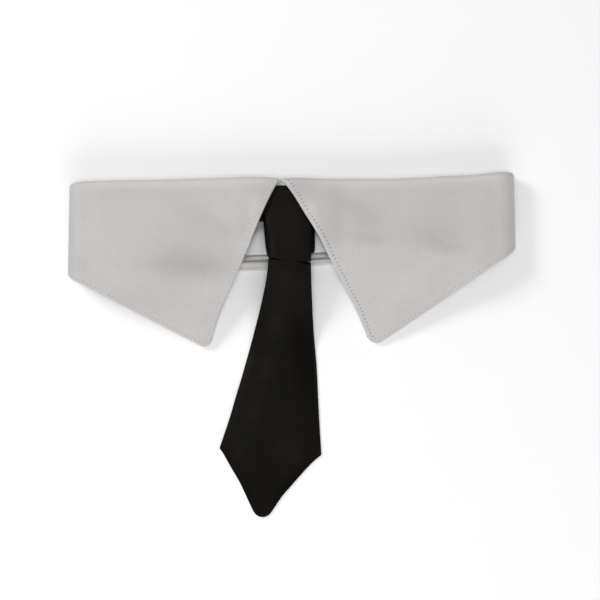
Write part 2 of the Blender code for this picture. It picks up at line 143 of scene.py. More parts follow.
# Soft troughs in the wings, large and then small: from and to, half-width and depth. A ridge has a negative
# depth. Each is shallower by TROUGH_TAPER at its ends. CREASING is how much deeper the cloth has the troughs
# than its plain solid.
CREASING = 1.5
TROUGH_TAPER = 0.6
TROUGH_COLUMNS = ("x0", "y0", "x1", "y1", "half_width", "depth")
TROUGHS = [
    (-53, 68, -24, 51, 6.0, 0.5),
    (-71, 37, -30, 36, 5.0, 0.6),
    (-65, 31, -57, 17, 5.0, 0.45),
    (-50, 24, -40, 10, 6.0, -0.35),
    (24, 68, 37, 58, 6.0, 0.5),
    (28, 47.5, 42, 49.5, 4.0, 0.45),
    (60, 47, 82, 43, 5.0, 0.5),
    (50, 25, 42, 12, 7.0, -0.4),
    (40, 38, 62, 33, 7.0, 0.35),
    (-29, 71, -27, 64, 2.2, 0.18),
    (-20.5, 69, -22, 50, 2.6, 0.35),
    (-15.5, 70, -19.5, 57, 2.0, -0.25),
    (-29, 53, -26, 49, 3.5, 0.25),
    (-45, 35.5, -33, 34.5, 3.0, 0.3),
    (-73, 24, -62, 14, 3.0, 0.25),
    (-99, 38, -83, 29, 2.2, 0.35),
    (-88, 66, -83, 47, 4.5, -0.2),
    (7, 64.5, 11.5, 58, 2.4, -0.3),
    (26, 50, 41, 47.5, 2.2, 0.3),
    (62, 48.5, 74, 44.5, 2.6, 0.25),
    (48, 24, 70, 41.5, 4.0, -0.3),
    (44, 17, 48, 11, 3.0, -0.3),
    (93, 60, 98, 48, 3.0, 0.35),
]

# Shade painted on the cotton, from and to, half-width and how much darker: painted shade on slopes and
# creases, and painted light, as a negative amount, on ridges, the roll, the side folds and the top of the V.
# A hollow gets painted shade as well, by HOLLOW_SHADE for each millimetre, and the painted shade is a
# little cooler, by SHADE_TINT.
SHADES = [
    (-66, 36.7, -22, 34.9, 7.0, 0.088),
    (-56, 38, -28, 33, 6.0, 0.045),
    (-52, 27, -26, 25, 5.0, -0.020),
    (-53, 66, -26, 49, 7.0, 0.030),
    (-48, 60, -48, 30, 20.0, 0.042),
    (-74, 25, -60, 14, 4.0, 0.030),
    (-20.5, 68, -22, 48, 4.5, 0.068),
    (-15.5, 70, -19.5, 57, 2.2, -0.030),
    (-101, 70, -101, 32, 3.2, 0.060),
    (-98, 38, -84, 29, 3.5, 0.030),
    (-97, 72.6, -10, 74.2, 3.0, -0.150),
    (-34, 16, -38, 0, 5.0, 0.03),
    (-60, 24, -45, 18, 9.0, 0.058),
    (7, 64.5, 11.5, 58, 3.6, -0.075),
    (14.5, 70, 18, 52, 4.2, -0.090),
    (26, 66, 37, 52, 9.0, 0.085),
    (22, 50, 46, 47.5, 3.6, 0.025),
    (48, 56, 76, 46, 13.0, 0.062),
    (56, 49.5, 80, 46.5, 4.5, 0.030),
    (60, 40.5, 82, 38.5, 4.0, -0.040),
    (25, 42.5, 48, 41, 4.0, -0.030),
    (48, 24, 70, 41.5, 6.0, -0.025),
    (93, 58, 100, 49, 4.5, 0.045),
    (101, 80, 101, 40, 4.5, -0.190),
    (12, 73.0, 98, 76.2, 3.0, -0.150),
    (44, 15, 40, 4, 7.0, 0.02),
    (-5.5, 71.8, -3.0, 71.6, 1.6, -0.30),
]
HOLLOW_SHADE = 0.03
SHADE_TINT = (1.0, 1.0, 1.012)

# The cloths' grain, as noise scales: clouding, grain and hue, and the stretched noise of their yarns. Then
# how much of each is in their colour, and how much of weave, yarns and grain in their relief.
COTTON_CLOUDS, COTTON_GRAIN, COTTON_YARNS = 42.0, 900.0, (60.0, 1500.0, 1.0)
SATIN_CLOUDS, SATIN_GRAIN, SATIN_HUES, SATIN_YARNS = 60.0, 1500.0, 650.0, (5200.0, 700.0, 1.0)
COTTON_CLOUDING, COTTON_SPECKLE = 0.12, 0.14
SATIN_CLOUDING, SATIN_SPECKLE, SATIN_HUE_RANGE = 0.14, 0.9, 3
SATIN_SHADE_ROUGHNESS, SATIN_GRAIN_ROUGHNESS = 0.5, 0.22
WEAVE_HEIGHT, SLUB_HEIGHT, GRAIN_HEIGHT = 0.5, 1.4, 0.8
CLOTH_RELIEF = 0.00004
# The satin's painted shade darkens its colour towards this.
SATIN_DARKEST = (0.0002, 0.0002, 0.0003)
THREAD_TWIST = 0.00022

# The back half takes a share of the same painted shades, turned upside down. Its inside gets painted light,
# to offset the shadow over it, and a painted shadow close below the stand's edge.
BACK_SHARE = 0.6
BACK_TURNED_Y = 108
INNER_SHADE = -0.44
COVERED_SHADE = 1.1
COVERED_BELOW = 0.2
COVERED_REACH = 0.5

# Shade painted on the stand between the wings: painted light on its plain middle, and painted shadow under
# the strap, beside the wings' front edges, along its lower stitches, on the cloth turned in below them and at
# its very edge. Each has an amount, and a reach in millimetres. Its thread is painted darker too, as shade in
# its groove. WING_EDGE_LEAN turns a distance along x into one across a wing's leaning edge.
STAND_SHADED_X = 40
STAND_MIDDLE_PAINTED_LIGHT = -0.24
STAND_BELOW_STRAP, STAND_STRAP_REACH = 0.85, 4.6
STAND_BY_WING, STAND_WING_REACH = 0.42, 1.3
STAND_GROOVE, STAND_GROOVE_AT, STAND_GROOVE_REACH = 0.65, 2.2, 0.4
STAND_TURNING, STAND_TURNING_DEEP = 0.42, 2.2
STAND_RIM, STAND_RIM_REACH = 0.9, 0.3
STAND_DARKEST = 0.9
STAND_THREAD_SHADE_SHARE = 0.4
WING_EDGE_LEAN = 0.87

# The stand's ends lap behind the knot: the right end over the left one, with a button.
OVER_END_X = -9.7
UNDER_END_X = 9.0
LAP_SLOPE = 6.0
BUTTON_X, BUTTON_Y = -1.0, 47.6
BUTTON_RADIUS = 5.2
BUTTON_THICK = 1.8
BUTTON_RIM = 1.1
BUTTON_DISH = 0.5
BUTTON_ROUNDING = 0.16
BUTTON_SHARP = math.radians(35)
BUTTON_HOLE = 0.85
BUTTON_HOLE_OUT = 1.7
STRAND_APART = 0.2
STRAND_OVER_DISH = 0.12
STRAND_RISE = 0.04

# The strap that carries the tie.
STRAP_BELOW_ROLL = 5.2
STRAP_WIDTH = 12.8
STRAP_HALF_ROWS = [0, 0.15, 0.4, 1.0, 2.6, 4.5, 6.4]

# The knot: wrap sections from top to mouth. crown is the height of the wall's middle, drop is how far the
# sides come down from it, and slant is how much lower the section's right end lies. The cloth is turned in
# over the last of it, KNOT_MOUTH_DEEP.
KNOT_COLUMNS = ("y", "left", "right", "crown", "drop", "slant")
KNOT = [
    (71.0, -13.6, 9.8, 12.2, 0.0, 0.0),
    (69.6, -13.6, 9.8, 12.6, 0.0, 0.0),
    (67.4, -13.4, 9.7, 13.6, 0.1, 0.0),
    (64.0, -13.0, 9.5, 15.1, 0.4, 0.0),
    (60.0, -12.6, 9.3, 16.4, 0.9, 0.2),
    (54.0, -12.1, 9.7, 17.5, 2.1, 0.6),
    (48.0, -11.6, 9.9, 18.6, 3.2, 1.1),
    (43.1, -11.1, 9.7, 19.6, 4.2, 1.6),
    (42.1, -10.9, 8.5, 19.7, 4.3, 1.7),
    (39.1, -10.4, 8.2, 20.0, 4.6, 2.2),
]
KNOT_SQUARENESS = 3.8
KNOT_MOUTH_DEEP = 1.5
KNOT_SLANT_BEND = 0.6
KNOT_FOLDS = [
    (-11.9, 59, -9.8, 41, 0.6, 0.10),
    (7.4, 58, 6.9, 40, 0.6, 0.12),
    (-3, 66, -1, 50, 3.5, 0.12),
    (3.5, 60, 4.0, 46, 2.5, -0.18),
]
KNOT_BACK_CORNERS = [(-12.6, 60.0), (9.6, 60.0), (8.9, 41.5), (-11.4, 41.0)]
KNOT_BACK_SHARES = [0, 0.01, 0.03, 0.08, *[k / 12 for k in range(2, 11)], 0.92, 0.97, 0.99, 1]
KNOT_BACK_SPAN = 20
KNOT_BACK_UNDER = STAND_FACE + BUTTON_THICK + 2 * SEAM

# The blade: its two edges from inside the knot to the shoulders, and its point (x, y). It fills the knot's
# mouth, and spreads to the knot's full width as it leaves it. It swells to its full thickness below
# BLADE_SWELLS_AT, its folds begin at BLADE_FOLDS_AT, and both are places in y.
BLADE_LEFT = [(-7.8, 50), (-8.7, 41), (-9.4, 39.2), (-10.5, 38.2), (-10.8, 33.5), (-12.2, 25), (-15.6, 10.6),
              (-21.5, -11), (-25.8, -25.4), (-28.3, -34), (-32.8, -47.4)]
BLADE_RIGHT = [(5.0, 50), (6.1, 39.5), (7.0, 37.1), (8.3, 36.8), (8.6, 35.6), (8.7, 32.5), (8.9, 25),
               (9.8, 7), (11.3, -11), (12.2, -30), (13.4, -50.4)]
BLADE_POINT = [(-32.8, -47.4), (-31.2, -49.6), (-28.1, -55.2), (-23.5, -63.0), (-14.0, -83.5), (-4.4, -69.1),
               (6.5, -56.7), (10.3, -52.9), (13.4, -50.4)]
BLADE_POINT_RADIUS = 4.6
BLADE_THICK = 2.6
BLADE_EDGE = 1.0
BLADE_IN_KNOT = 1.3
BLADE_MOUTH_RISE = 1.1
BLADE_MOUTH_LENGTH = 8.0
BLADE_SWELLS_AT, BLADE_SWELLS_OVER = 50, 12
BLADE_FOLDS_AT, BLADE_FOLDS_OVER = 40, 8
BLADE_SQUARENESS, BLADE_END_SQUARENESS = 5, 22
BLADE_EDGE_TURN = 0.32
BLADE_LEAVES_KNOT = 38.0
BLADE_LANDS = -6.0
BLADE_NECK_UNDER = KNOT_BACK_UNDER + SATIN + SEAM

# Soft folds of the blade's upper side, as the wings' troughs.
BLADE_FOLDS = [
    (-3.5, 36, -8.5, 8, 4.5, -0.5),
    (-8.5, 8, -17, -28, 5.0, -0.55),
    (3.5, 24, 4.5, -22, 5.0, 0.35),
    (-14, -6, -22, -30, 3.0, 0.25),
    (-22, -44, 6, -43, 4.0, -0.25),
    (-4, -56, 6, -50, 4.0, 0.25),
]

# Painted sheen and painted shade of the satin on the blade and the knot, as the cotton's shades: a negative
# amount is painted sheen, and a positive one painted shade, which also dulls glints at the knot's mouth.
BLADE_SHADES = [
    (-3.5, 34, -4.2, 24, 5.0, -0.34),
    (-6.0, 14, -8.8, 4, 3.6, -0.44),
    (-10.6, -5, -12.8, -17, 3.8, -0.42),
    (-15.5, -25, -20.0, -36, 4.2, -0.36),
    (-25.0, -46, -23.0, -50, 3.6, -0.26),
    (-6, -46, 3, -50, 4.6, -0.30),
    (2.5, 14, 6.0, -26, 5.0, 0.34),
    (-14.5, 24, -30.5, -44, 3.4, 0.42),
    (8.6, 30, 11.6, -45, 1.6, 0.26),
    (9.6, 8, 12.3, -40, 0.7, -0.6),
    (9, -54, -7, -73, 3.6, 0.36),
    (-30.5, -52, -17, -77, 2.6, 0.36),
    (-13, -58, -12, -70, 10.0, 0.16),
    (-11.5, 38.4, -6, 38.0, 0.9, 0.7),
    (6, 37.0, 9.5, 36.6, 0.9, 0.7),
]
KNOT_SHADES = [
    (9.4, 60, 9.2, 38, 1.6, 0.42),
    (-12.6, 58, -11.0, 40, 1.8, 0.70),
    (-10.8, 54, -9.2, 39, 1.4, 0.35),
    (-5, 60, -3, 44, 7.0, -0.16),
    (4, 66, 6, 60, 5.0, 0.10),
]

# A stitch narrows past STITCH_PINCH of its length from its middle. Its ends are thinner than its middle, and
# dip into the cloth by a share of its width. Each strays along its row, in millimetres, and tilts. Thread and
# holes lie a little above the cloth. A hole's depth is a share of its radius.
STITCH_PINCH, STITCH_END, STITCH_DIP = 0.3, 0.55, 0.45
STITCH_STRAY, STITCH_TILT = 0.06, 0.07
THREAD_RISE_SHARE = 0.12
HOLE_RISE, HOLE_REACH, HOLE_DEPTH = 0.07, 0.2, 0.3

# Needle holes of other edges, as shares of the right front edge's. Hidden ones are the back's, above
# HIDDEN_HOLES_Y.
LEFT_FRONT_HOLES = 0.42
LOWER_HOLES = 0.5
HIDDEN_HOLES = 0.4
HIDDEN_HOLES_Y = 30

# The stand's front is dented a little below its top edge, in slow waves along it.
STAND_DENT, STAND_DENT_LENGTH, STAND_DENT_FADE = 0.12, 13, 20

# Slow unevenness that pressed cloth keeps, as two waves: height, length, sway and the sway's own length.
RIPPLE_ALONG = (0.05, 7.3, 1.7, 11)
RIPPLE_DOWN = (0.04, 5.1, 2.1, 17)

# Puckers that the topstitching pulls: their height, the length of their waves, how steeply they lean, and how
# they sway. Those of the left wing's tip are tight, and fade out within a reach of their middle.
PUCKER_HEIGHT, PUCKER_LENGTH, PUCKER_LEAN = 0.07, 4.7, 0.4
PUCKER_SWAY, PUCKER_SWAY_LENGTH = 2, 9
TIP_PUCKER_HEIGHT, TIP_PUCKER_LENGTH, TIP_PUCKER_LEAN = 0.16, 2.6, 0.5
TIP_PUCKER_X, TIP_PUCKER_REACH_X = -33, 9
TIP_PUCKER_Y, TIP_PUCKER_REACH_Y = 9.0, 13.0

# Half-thickness of the cloth by distance from a turned and topstitched edge.
EDGE_SECTION = [
    (0, 0.28), (0.2, 0.45), (0.5, 0.57), (0.95, 0.63), (1.4, 0.64), (1.8, 0.61), (2.1, 0.55), (2.3, 0.50),
    (2.5, 0.54), (2.8, 0.58), (3.2, 0.60), (3.8, 0.60),
]
STAND_EDGE_SECTION = [
    (0, 0.26), (0.2, 0.45), (0.5, 0.57), (0.95, 0.62), (1.4, 0.60), (1.8, 0.48), (2.1, 0.38), (2.3, 0.40),
    (2.5, 0.50), (2.8, 0.57), (3.2, 0.60), (3.8, 0.60),
]
EDGE_STEPS = [d for d, _ in EDGE_SECTION]
EDGE_DEEP = EDGE_STEPS[-1]
SATIN_SECTION = [(0, 0.25), (0.15, 0.4), (0.4, 0.5), (1.0, 0.5)]

# Where the topstitching lies, which is one of its section's distances.
LEAF_STITCHES_IN = 2.3
STAND_STITCHES_IN = 2.1

# Soft lamps round the camera, in metres and watts. Only the one called window is seen in the satin's sheen.
LAMP_COLUMNS = ("name", "x", "y", "z", "size", "power", "in_sheen")
LAMPS = [
    ("ceiling", 0.0, 0.0, 1.4, 0.4, 7.6, False),
    ("window", -0.8, 0.6, 0.8, 0.4, 6.0, True),
    ("front_fill", 0.1, -0.95, 0.55, 1.0, 6.0, False),
]

# The camera's x and y in metres, and its lens and sensor in millimetres. It looks straight down.
CAMERA_PLACE = (0.0037, 0.0198)
CAMERA_LENS, CAMERA_SENSOR = 135, 36
FLOOR_SIZE = 4.0

# Rows and columns of the meshes, and the angle past which their edges stay sharp. A wing's columns are
# counted for a width of WING_LEAN more than at its tip, and a step along its front edge gives its slope
# there. The blade's rows are given by shares of its length, close at the mouth.
SHARP_ANGLE = math.radians(65)
WING_CELL = 1.25
WING_ROWS = 52
WING_LEAN = 10
EDGE_STEP, EDGE_STEP_SHARE = 0.1, 0.002
STAND_ROWS = 24
LAP_COLUMNS, SLOPE_COLUMNS = 10, 8
FOLD_COLUMNS = 20
ROLL_ROWS = 12
LIP_ROWS = 2
KNOT_ROWS, KNOT_ACROSS = 90, 72
BLADE_ROWS = [(0, 0), (0.09, 8), (0.15, 22), (0.92, 110), (1, 30)]
BLADE_COLUMNS = 56


def mix(a, b, share):
    return a + (b - a) * share


def ease(value):
    """Smooth step from 0 at 0 to 1 at 1."""
    value = min(max(value, 0.0), 1.0)
    return value * value * (3 - 2 * value)


def bell(distance, reach):
    """1 at no distance, and less and less past the reach."""
    return math.exp(-((distance / reach) ** 2))


def through(table, x):
    """Value at x of a smooth line through (x, value) pairs, in rising or falling x."""
    points = table if table[0][0] < table[-1][0] else table[::-1]
    x = min(max(x, points[0][0]), points[-1][0])
    i = max(k for k in range(len(points) - 1) if points[k][0] <= x)

    def slope(k):
        before, after = points[max(k - 1, 0)], points[min(k + 1, len(points) - 1)]
        return (after[1] - before[1]) / (after[0] - before[0])

    (x0, y0), (x1, y1) = points[i], points[i + 1]
    span = x1 - x0
    t = (x - x0) / span
    rise = (2 * t**3 - 3 * t**2 + 1) * y0 + (3 * t**2 - 2 * t**3) * y1
    return rise + (t**3 - 2 * t**2 + t) * span * slope(i) + (t**3 - t**2) * span * slope(i + 1)


def at_share(line, share):
    """Point at a share of the length of a line of points."""
    lengths = [(b - a).length for a, b in zip(line, line[1:])]
    left = min(max(share, 0.0), 1.0) * sum(lengths)
    for a, b, length in zip(line, line[1:], lengths):
        if left <= length:
            return a.lerp(b, left / length)
        left -= length
    return line[-1].copy()


def smooth_outline(points, steps=8):
    """Catmull-Rom curve through a few outline points, as a denser line."""
    points = [Vector(p) for p in points]
    padded = [2 * points[0] - points[1], *points, 2 * points[-1] - points[-2]]
    line = []
    for a, b, c, d in zip(padded, padded[1:], padded[2:], padded[3:]):
        for k in range(steps):
            t = k / steps
            line.append(0.5 * (2 * b + (c - a) * t + (2 * a - 5 * b + 4 * c - d) * t**2
                               + (3 * b - a - 3 * c + d) * t**3))
    return line + [points[-1]]


def corner_arc(before, corner, after, radius, steps=16):
    """(centre, points) of the arc that rounds a corner between two straight edges."""
    to_before, to_after = (before - corner).normalized(), (after - corner).normalized()
    half = to_before.angle(to_after) / 2
    middle = corner + (to_before + to_after).normalized() * (radius / math.sin(half))
    start = corner + to_before * (radius / math.tan(half)) - middle
    end = corner + to_after * (radius / math.tan(half)) - middle
    return middle, [middle + radius * start.slerp(end, k / steps).normalized() for k in range(steps + 1)]


def normal_towards(line, way):
    """Normal of a line's direction, on the side that another direction points to."""
    normal = Vector((-line.y, line.x))
    return normal * math.copysign(1, normal.dot(way))


def ring(s, fold, flare=0.0):
    """(x, z) on the flattened ring. s is x along the front, and goes on round a side fold to the back."""
    side = math.copysign(1, s)
    past = abs(s) - FOLD_X
    turn = min(max(past / LEAF_FOLD, 0), math.pi)
    back = max(past - math.pi * LEAF_FOLD, 0)
    x = side * (min(abs(s), FOLD_X) - back + (fold + flare) * math.sin(turn))
    return x, MID_HEIGHT + fold * math.cos(turn)


def spread(stops):
    """Places along the ring: each stop, and the columns up to it from the stop before."""
    places = [stops[0][0]]
    for (a, _), (b, columns) in zip(stops, stops[1:]):
        places += [mix(a, b, k / columns) for k in range(1, columns + 1)]
    return places


def cells(length):
    """Columns that split a length into even cells."""
    return max(round(abs(length) / WING_CELL), 1)


def to_centre_back(side, stops):
    """Places along the ring: the stops up to a side fold, and on round it to the centre back."""
    centre = side * (2 * FOLD_X + FOLD_TURN) - BACK_CENTRE_X
    return spread([*stops, (side * (FOLD_X + FOLD_TURN), FOLD_COLUMNS), (centre, cells(FOLD_X))])


def on_front(s):
    return abs(s) <= FOLD_X + LEAF_FOLD * math.pi / 2


def top_line(s):
    """y of the roll's outer edge."""
    x = ring(s, LEAF_FOLD)[0]
    if on_front(s):
        return through(FRONT_TOP, x)
    straight = mix(FRONT_TOP[0][1], FRONT_TOP[-1][1], (x + HALF_WIDTH) / (2 * HALF_WIDTH))
    return straight - BACK_SAG * max(1 - (x / FOLD_X) ** 2, 0)


def roll_line(s):
    """y of the roll's centre, where the leaf starts and the roll turns."""
    return top_line(s) - ROLL_OUTER


def stand_bottom(s):
    x = ring(s, STAND_FOLD)[0]
    rise = 0 if on_front(s) else STAND_BACK_RISE * max(1 - (x / FOLD_X) ** 2, 0)
    return through(STAND_BOTTOM, x) + rise


def knot_lift(x, y):
    """How far the knot holds a wing up."""
    outside = max(KNOT_LIFT_LEFT - x, x - KNOT_LIFT_RIGHT, 0)
    return through(KNOT_LIFT, y) * (1 - ease(outside / KNOT_LIFT_FADE))


def droop(x, y):
    """How far a wing has bent down past the stand's lower edge."""
    below = max(stand_bottom(x) - y, 0)
    fade = ease((FOLD_X - abs(x)) / DROOP_FADE)
    return DROOP_SLOPE * (math.hypot(below, DROOP_BEND) - DROOP_BEND) * fade


def resting(z):
    """Height of a wall's middle that never sinks below the surface it lies on."""
    above = (z - COLLAR_CLOTH / 2) / RESTING_SOFTNESS
    return COLLAR_CLOTH / 2 + RESTING_SOFTNESS * (above + math.hypot(above, RESTING_BEND)) / 2


def trough_depth(x, y, rows):
    """Depth of all a table's troughs at a place."""
    place, depth = Vector((x, y)), 0.0
    for row in rows:
        t = dict(zip(TROUGH_COLUMNS, row))
        start, end = Vector((t["x0"], t["y0"])), Vector((t["x1"], t["y1"]))
        along = (place - start).dot(end - start) / (end - start).length_squared
        along = min(max(along, 0), 1)
        near = start.lerp(end, along)
        full = 1 - TROUGH_TAPER * abs(2 * along - 1) ** 3
        depth += full * t["depth"] * bell((place - near).length, t["half_width"])
    return depth


def leaf_shade(x, y, z, inner):
    """How much shade is painted on the leaf's cloth at a place; a negative amount is painted light."""
    if z >= MID_HEIGHT:
        return trough_depth(x, y, SHADES) + HOLLOW_SHADE * trough_depth(x, y, TROUGHS)
    if not inner:
        return trough_depth(-x, BACK_TURNED_Y - y, SHADES) * BACK_SHARE
    below = y - stand_bottom(max(min(x, FOLD_X), -FOLD_X)) + COVERED_BELOW
    return INNER_SHADE + COVERED_SHADE * bell(below, COVERED_REACH)


def wave(along, across, values):
    """Height of a wave that runs one way and sways with the other."""
    height, length, sway, sway_length = values
    return height * math.sin(along / length + sway * math.sin(across / sway_length))


def ripple(s, y):
    return wave(s, y, RIPPLE_ALONG) + wave(y, s, RIPPLE_DOWN)


def pucker(p, gap):
    """How far the topstitching pulls the cloth up or down at a place that is this far from the edge."""
    sway = PUCKER_SWAY * math.sin(p.x / PUCKER_SWAY_LENGTH)
    slow = math.sin(2 * math.pi * (p.x + PUCKER_LEAN * p.y) / PUCKER_LENGTH + sway)
    tight = math.sin(2 * math.pi * (p.y - TIP_PUCKER_LEAN * p.x) / TIP_PUCKER_LENGTH)
    tight *= ease(1 - abs(p.y - TIP_PUCKER_Y) / TIP_PUCKER_REACH_Y)
    tight *= ease(1 - abs(p.x - TIP_PUCKER_X) / TIP_PUCKER_REACH_X)
    return (1 - gap / EDGE_DEEP) * (PUCKER_HEIGHT * slow + TIP_PUCKER_HEIGHT * tight)


def leaf_surface(s, depth, lift=0.0):
    """Middle of the leaf's wall. depth runs down from the roll's centre, and is negative round the roll."""
    y = roll_line(s)
    if depth >= 0:
        y -= depth
        x, z = ring(s, LEAF_FOLD, FLARE * depth)
        if abs(s) < FOLD_X:
            fade = ease((FOLD_X - abs(s)) / SIDE_FADE) * ease(depth / ROLL_FADE)
            hollow = CREASING * trough_depth(s, y, TROUGHS)
            z += knot_lift(s, y) - droop(s, y) + (LOFT - hollow + ripple(s, y) + lift) * fade
            z = resting(z)
        elif abs(s) > FOLD_X + FOLD_TURN:
            fade = ease((abs(s) - FOLD_X - FOLD_TURN) / BACK_FADE) * ease(depth / ROLL_FADE)
            z += (BACK_LOFT + ripple(BACK_RIPPLE * x, y)) * fade
        return Vector((x, y, z))
    turn = -depth / ROLL
    if turn < math.pi:
        x, z = ring(s, LEAF_FOLD - ROLL * (1 - math.cos(turn)))
        return Vector((x, y + ROLL * math.sin(turn), z))
    x, z = ring(s, STAND_FOLD)
    return Vector((x, y + depth + math.pi * ROLL, z))


def lower_edge(wing, s, fold_y):
    """y of the leaf's lower edge past the fold: the wing's line, rounded into the back's edge."""
    line = fold_y + wing["lower_slope"] * (abs(s) - FOLD_X)
    level = through(LEAF_BACK_BOTTOM, ring(s, LEAF_FOLD)[0])
    gap = (line - level) / EDGE_ROUNDING
    return level + EDGE_ROUNDING * (gap - math.hypot(gap, EDGE_BEND)) / 2


def edge_rows(rows):
    """(share of the way down, distance from the lower edge) of a grid's rows, which end at a sewn edge."""
    return [(k / rows, EDGE_DEEP) for k in range(rows + 1)] + [(1.0, gap) for gap in EDGE_STEPS[-2::-1]]


def rounded_tip(p, tip):
    """Moves a point of a sharp wing tip onto the tip's arcs."""
    corner, along_lower, along_front, centre, radius = tip
    out = p - centre
    if out.dot(along_lower) >= 0 or out.dot(along_front) >= 0 or out.length < 1e-6:
        return p
    near = min((p - corner).dot(normal_towards(along_lower, along_front)),
               (p - corner).dot(normal_towards(along_front, along_lower)))
    return centre + out.normalized() * (radius - near)


def roll_rows(side, start, steps, past):
    """Rows of half the lip and the roll. Their front ends close up towards the front's middle."""
    rows = []
    for k in range(ROLL_ROWS + LIP_ROWS, 0, -1):
        depth = -math.pi * ROLL * min(k, ROLL_ROWS) / ROLL_ROWS - LIP * max(k - ROLL_ROWS, 0) / LIP_ROWS
        begin = mix(start, FRONT_CENTRE_X + side * SEAM / 2, min(-depth / (math.pi * ROLL / 2), 1))
        scale = (side * FOLD_X - begin) / steps[-1]
        places = [begin + step * scale for step in steps] + past
        rows.append([leaf_surface(s, depth) for s in places])
    return rows


def half_leaf(wing):
    """(points, distances from the sewn edge) of half the leaf, from its front edge to the centre back."""
    side, margin = wing["side"], wing["lower_margin"]
    edge = [Vector(p) for p in wing["edge"]]
    corner = edge[-1]
    fold_y = corner.y + wing["lower_slope"] * (FOLD_X - abs(corner.x))
    fold = Vector((side * FOLD_X, fold_y))
    middle, arc = corner_arc(edge[-2], corner, fold, wing["tip_radius"])
    front = smooth_outline([*edge[:-1], arc[0]]) + [corner]
    along_lower, along_front = (fold - corner).normalized(), (edge[-2] - corner).normalized()
    tip = (corner, along_lower, along_front, middle, wing["tip_radius"])
    rise = along_front.dot(normal_towards(along_lower, along_front))
    length = sum((b - a).length for a, b in zip(front, front[1:]))
    inner = 1 - EDGE_DEEP * margin / rise / length
    across = cells(FOLD_X - abs(corner.x) + WING_LEAN)
    front_gaps = [*EDGE_STEPS, *[EDGE_DEEP] * across]
    past = to_centre_back(side, [(side * FOLD_X, 0)])[1:]
    body, body_gaps, first_steps = [], [], None
    for share, low_gap in edge_rows(WING_ROWS):
        if low_gap == EDGE_DEEP:
            here = at_share(front, share * inner)
            nearby = at_share(front, share * inner + EDGE_STEP_SHARE)
        else:
            here = corner + along_front * (low_gap * margin / rise)
            nearby = here - along_front * EDGE_STEP
        tangent = (nearby - here).normalized()
        low_y = fold_y + low_gap * margin / abs(along_lower.x)
        there = Vector((side * FOLD_X, mix(roll_line(side * FOLD_X), low_y, share)))
        row_way = (there - here).normalized()
        sine = abs(row_way.x * tangent.y - row_way.y * tangent.x)
        span = (there - here).length
        steps = [d * wing["front_margin"] / sine for d in EDGE_STEPS]
        steps += [mix(steps[-1], span, k / across) for k in range(1, across + 1)]
        first_steps = first_steps or steps
        row = []
        for step in steps:
            p = here + row_way * step
            chord = mix(roll_line(front[0].x), roll_line(there.x), step / span)
            p.y += (roll_line(p.x) - chord) * (1 - share)
            row.append(rounded_tip(p, tip))
        for s in past:
            lean = math.hypot(1, lower_edge(wing, s + 0.5, fold_y) - lower_edge(wing, s - 0.5, fold_y))
            low = lower_edge(wing, s, fold_y) + low_gap * margin * lean
            row.append(Vector((s, mix(roll_line(s), low, share))))
        body.append(row)
        body_gaps.append([min(gap, low_gap) for gap in front_gaps] + [low_gap] * len(past))
    points = roll_rows(side, front[0].x, first_steps, past)
    gaps = [front_gaps + [EDGE_DEEP] * len(past)] * len(points) + body_gaps
    for row, row_gaps in zip(body, body_gaps):
        lifts = [pucker(p, gap) for p, gap in zip(row, row_gaps)]
        points.append([leaf_surface(p.x, max(roll_line(p.x) - p.y, 0), lift) for p, lift in zip(row, lifts)])
    return points, gaps


def leaf_grid():
    """The whole leaf, from the left wing's front edge round the back to the right wing's."""
    (left, left_gaps), (right, right_gaps) = half_leaf(LEFT_WING), half_leaf(RIGHT_WING)
    rows = [a + b[-2::-1] for a, b in zip(left, right)]
    gaps = [a + b[-2::-1] for a, b in zip(left_gaps, right_gaps)]
    return np.array(rows), np.array(gaps)


def stand_grid():
    """(points, distances from a sewn edge) of the stand, from its under end round to its over end."""
    low = OVER_END_X - SEAM
    left = [UNDER_END_X - d for d in EDGE_STEPS]
    lap = [(left[-1], 0), (low, LAP_COLUMNS), (low - LAP_SLOPE, SLOPE_COLUMNS)]
    left += to_centre_back(-1, [*lap, (-FOLD_X, cells(FOLD_X + low - LAP_SLOPE))])[1:]
    right = [OVER_END_X + d for d in EDGE_STEPS]
    right += to_centre_back(1, [(right[-1], 0), (FOLD_X, cells(FOLD_X - right[-1]))])[1:]
    step = COLLAR_CLOTH + SEAM
    places = [(s, STAND_FOLD - step * ease((s - low + LAP_SLOPE) / LAP_SLOPE)) for s in left]
    places += [(s, STAND_FOLD) for s in right[-2::-1]]
    gaps = [*EDGE_STEPS, *[EDGE_DEEP] * (len(places) - 2 * len(EDGE_STEPS)), *EDGE_STEPS[::-1]]
    rows, distances = [], []
    for share, low_gap in edge_rows(STAND_ROWS):
        row, line = [], []
        for (s, fold), gap in zip(places, gaps):
            top, bottom = roll_line(s) - LIP - SEAM, stand_bottom(s)
            y = mix(top, bottom + low_gap, share)
            x, z = ring(s, fold)
            dent = STAND_DENT * math.sin(s / STAND_DENT_LENGTH) * ease((FOLD_X - abs(s)) / SIDE_FADE)
            row.append(Vector((x, y, z - abs(dent * ease((top - y) / STAND_DENT_FADE) * on_front(s)))))
            line.append(min(gap, low_gap))
        rows.append(row)
        distances.append(line)
    return np.array(rows), np.array(distances)


def strap_grid():
    """(points, distances from an edge) of the strap, as a closed loop round the stand."""
    left, right = (to_centre_back(side, [(0, 0), (side * FOLD_X, cells(FOLD_X))]) for side in (-1, 1))
    rows, distances = [], []
    for down in STRAP_HALF_ROWS + [STRAP_WIDTH - d for d in STRAP_HALF_ROWS[-2::-1]]:
        row = []
        for s in left + right[-2:0:-1]:
            x, z = ring(s, STRAP_FOLD)
            row.append(Vector((x, roll_line(s) - STRAP_BELOW_ROLL - down, z)))
        rows.append(row)
        distances.append([min(down, STRAP_WIDTH - down)] * len(row))
    return np.array(rows), np.array(distances)


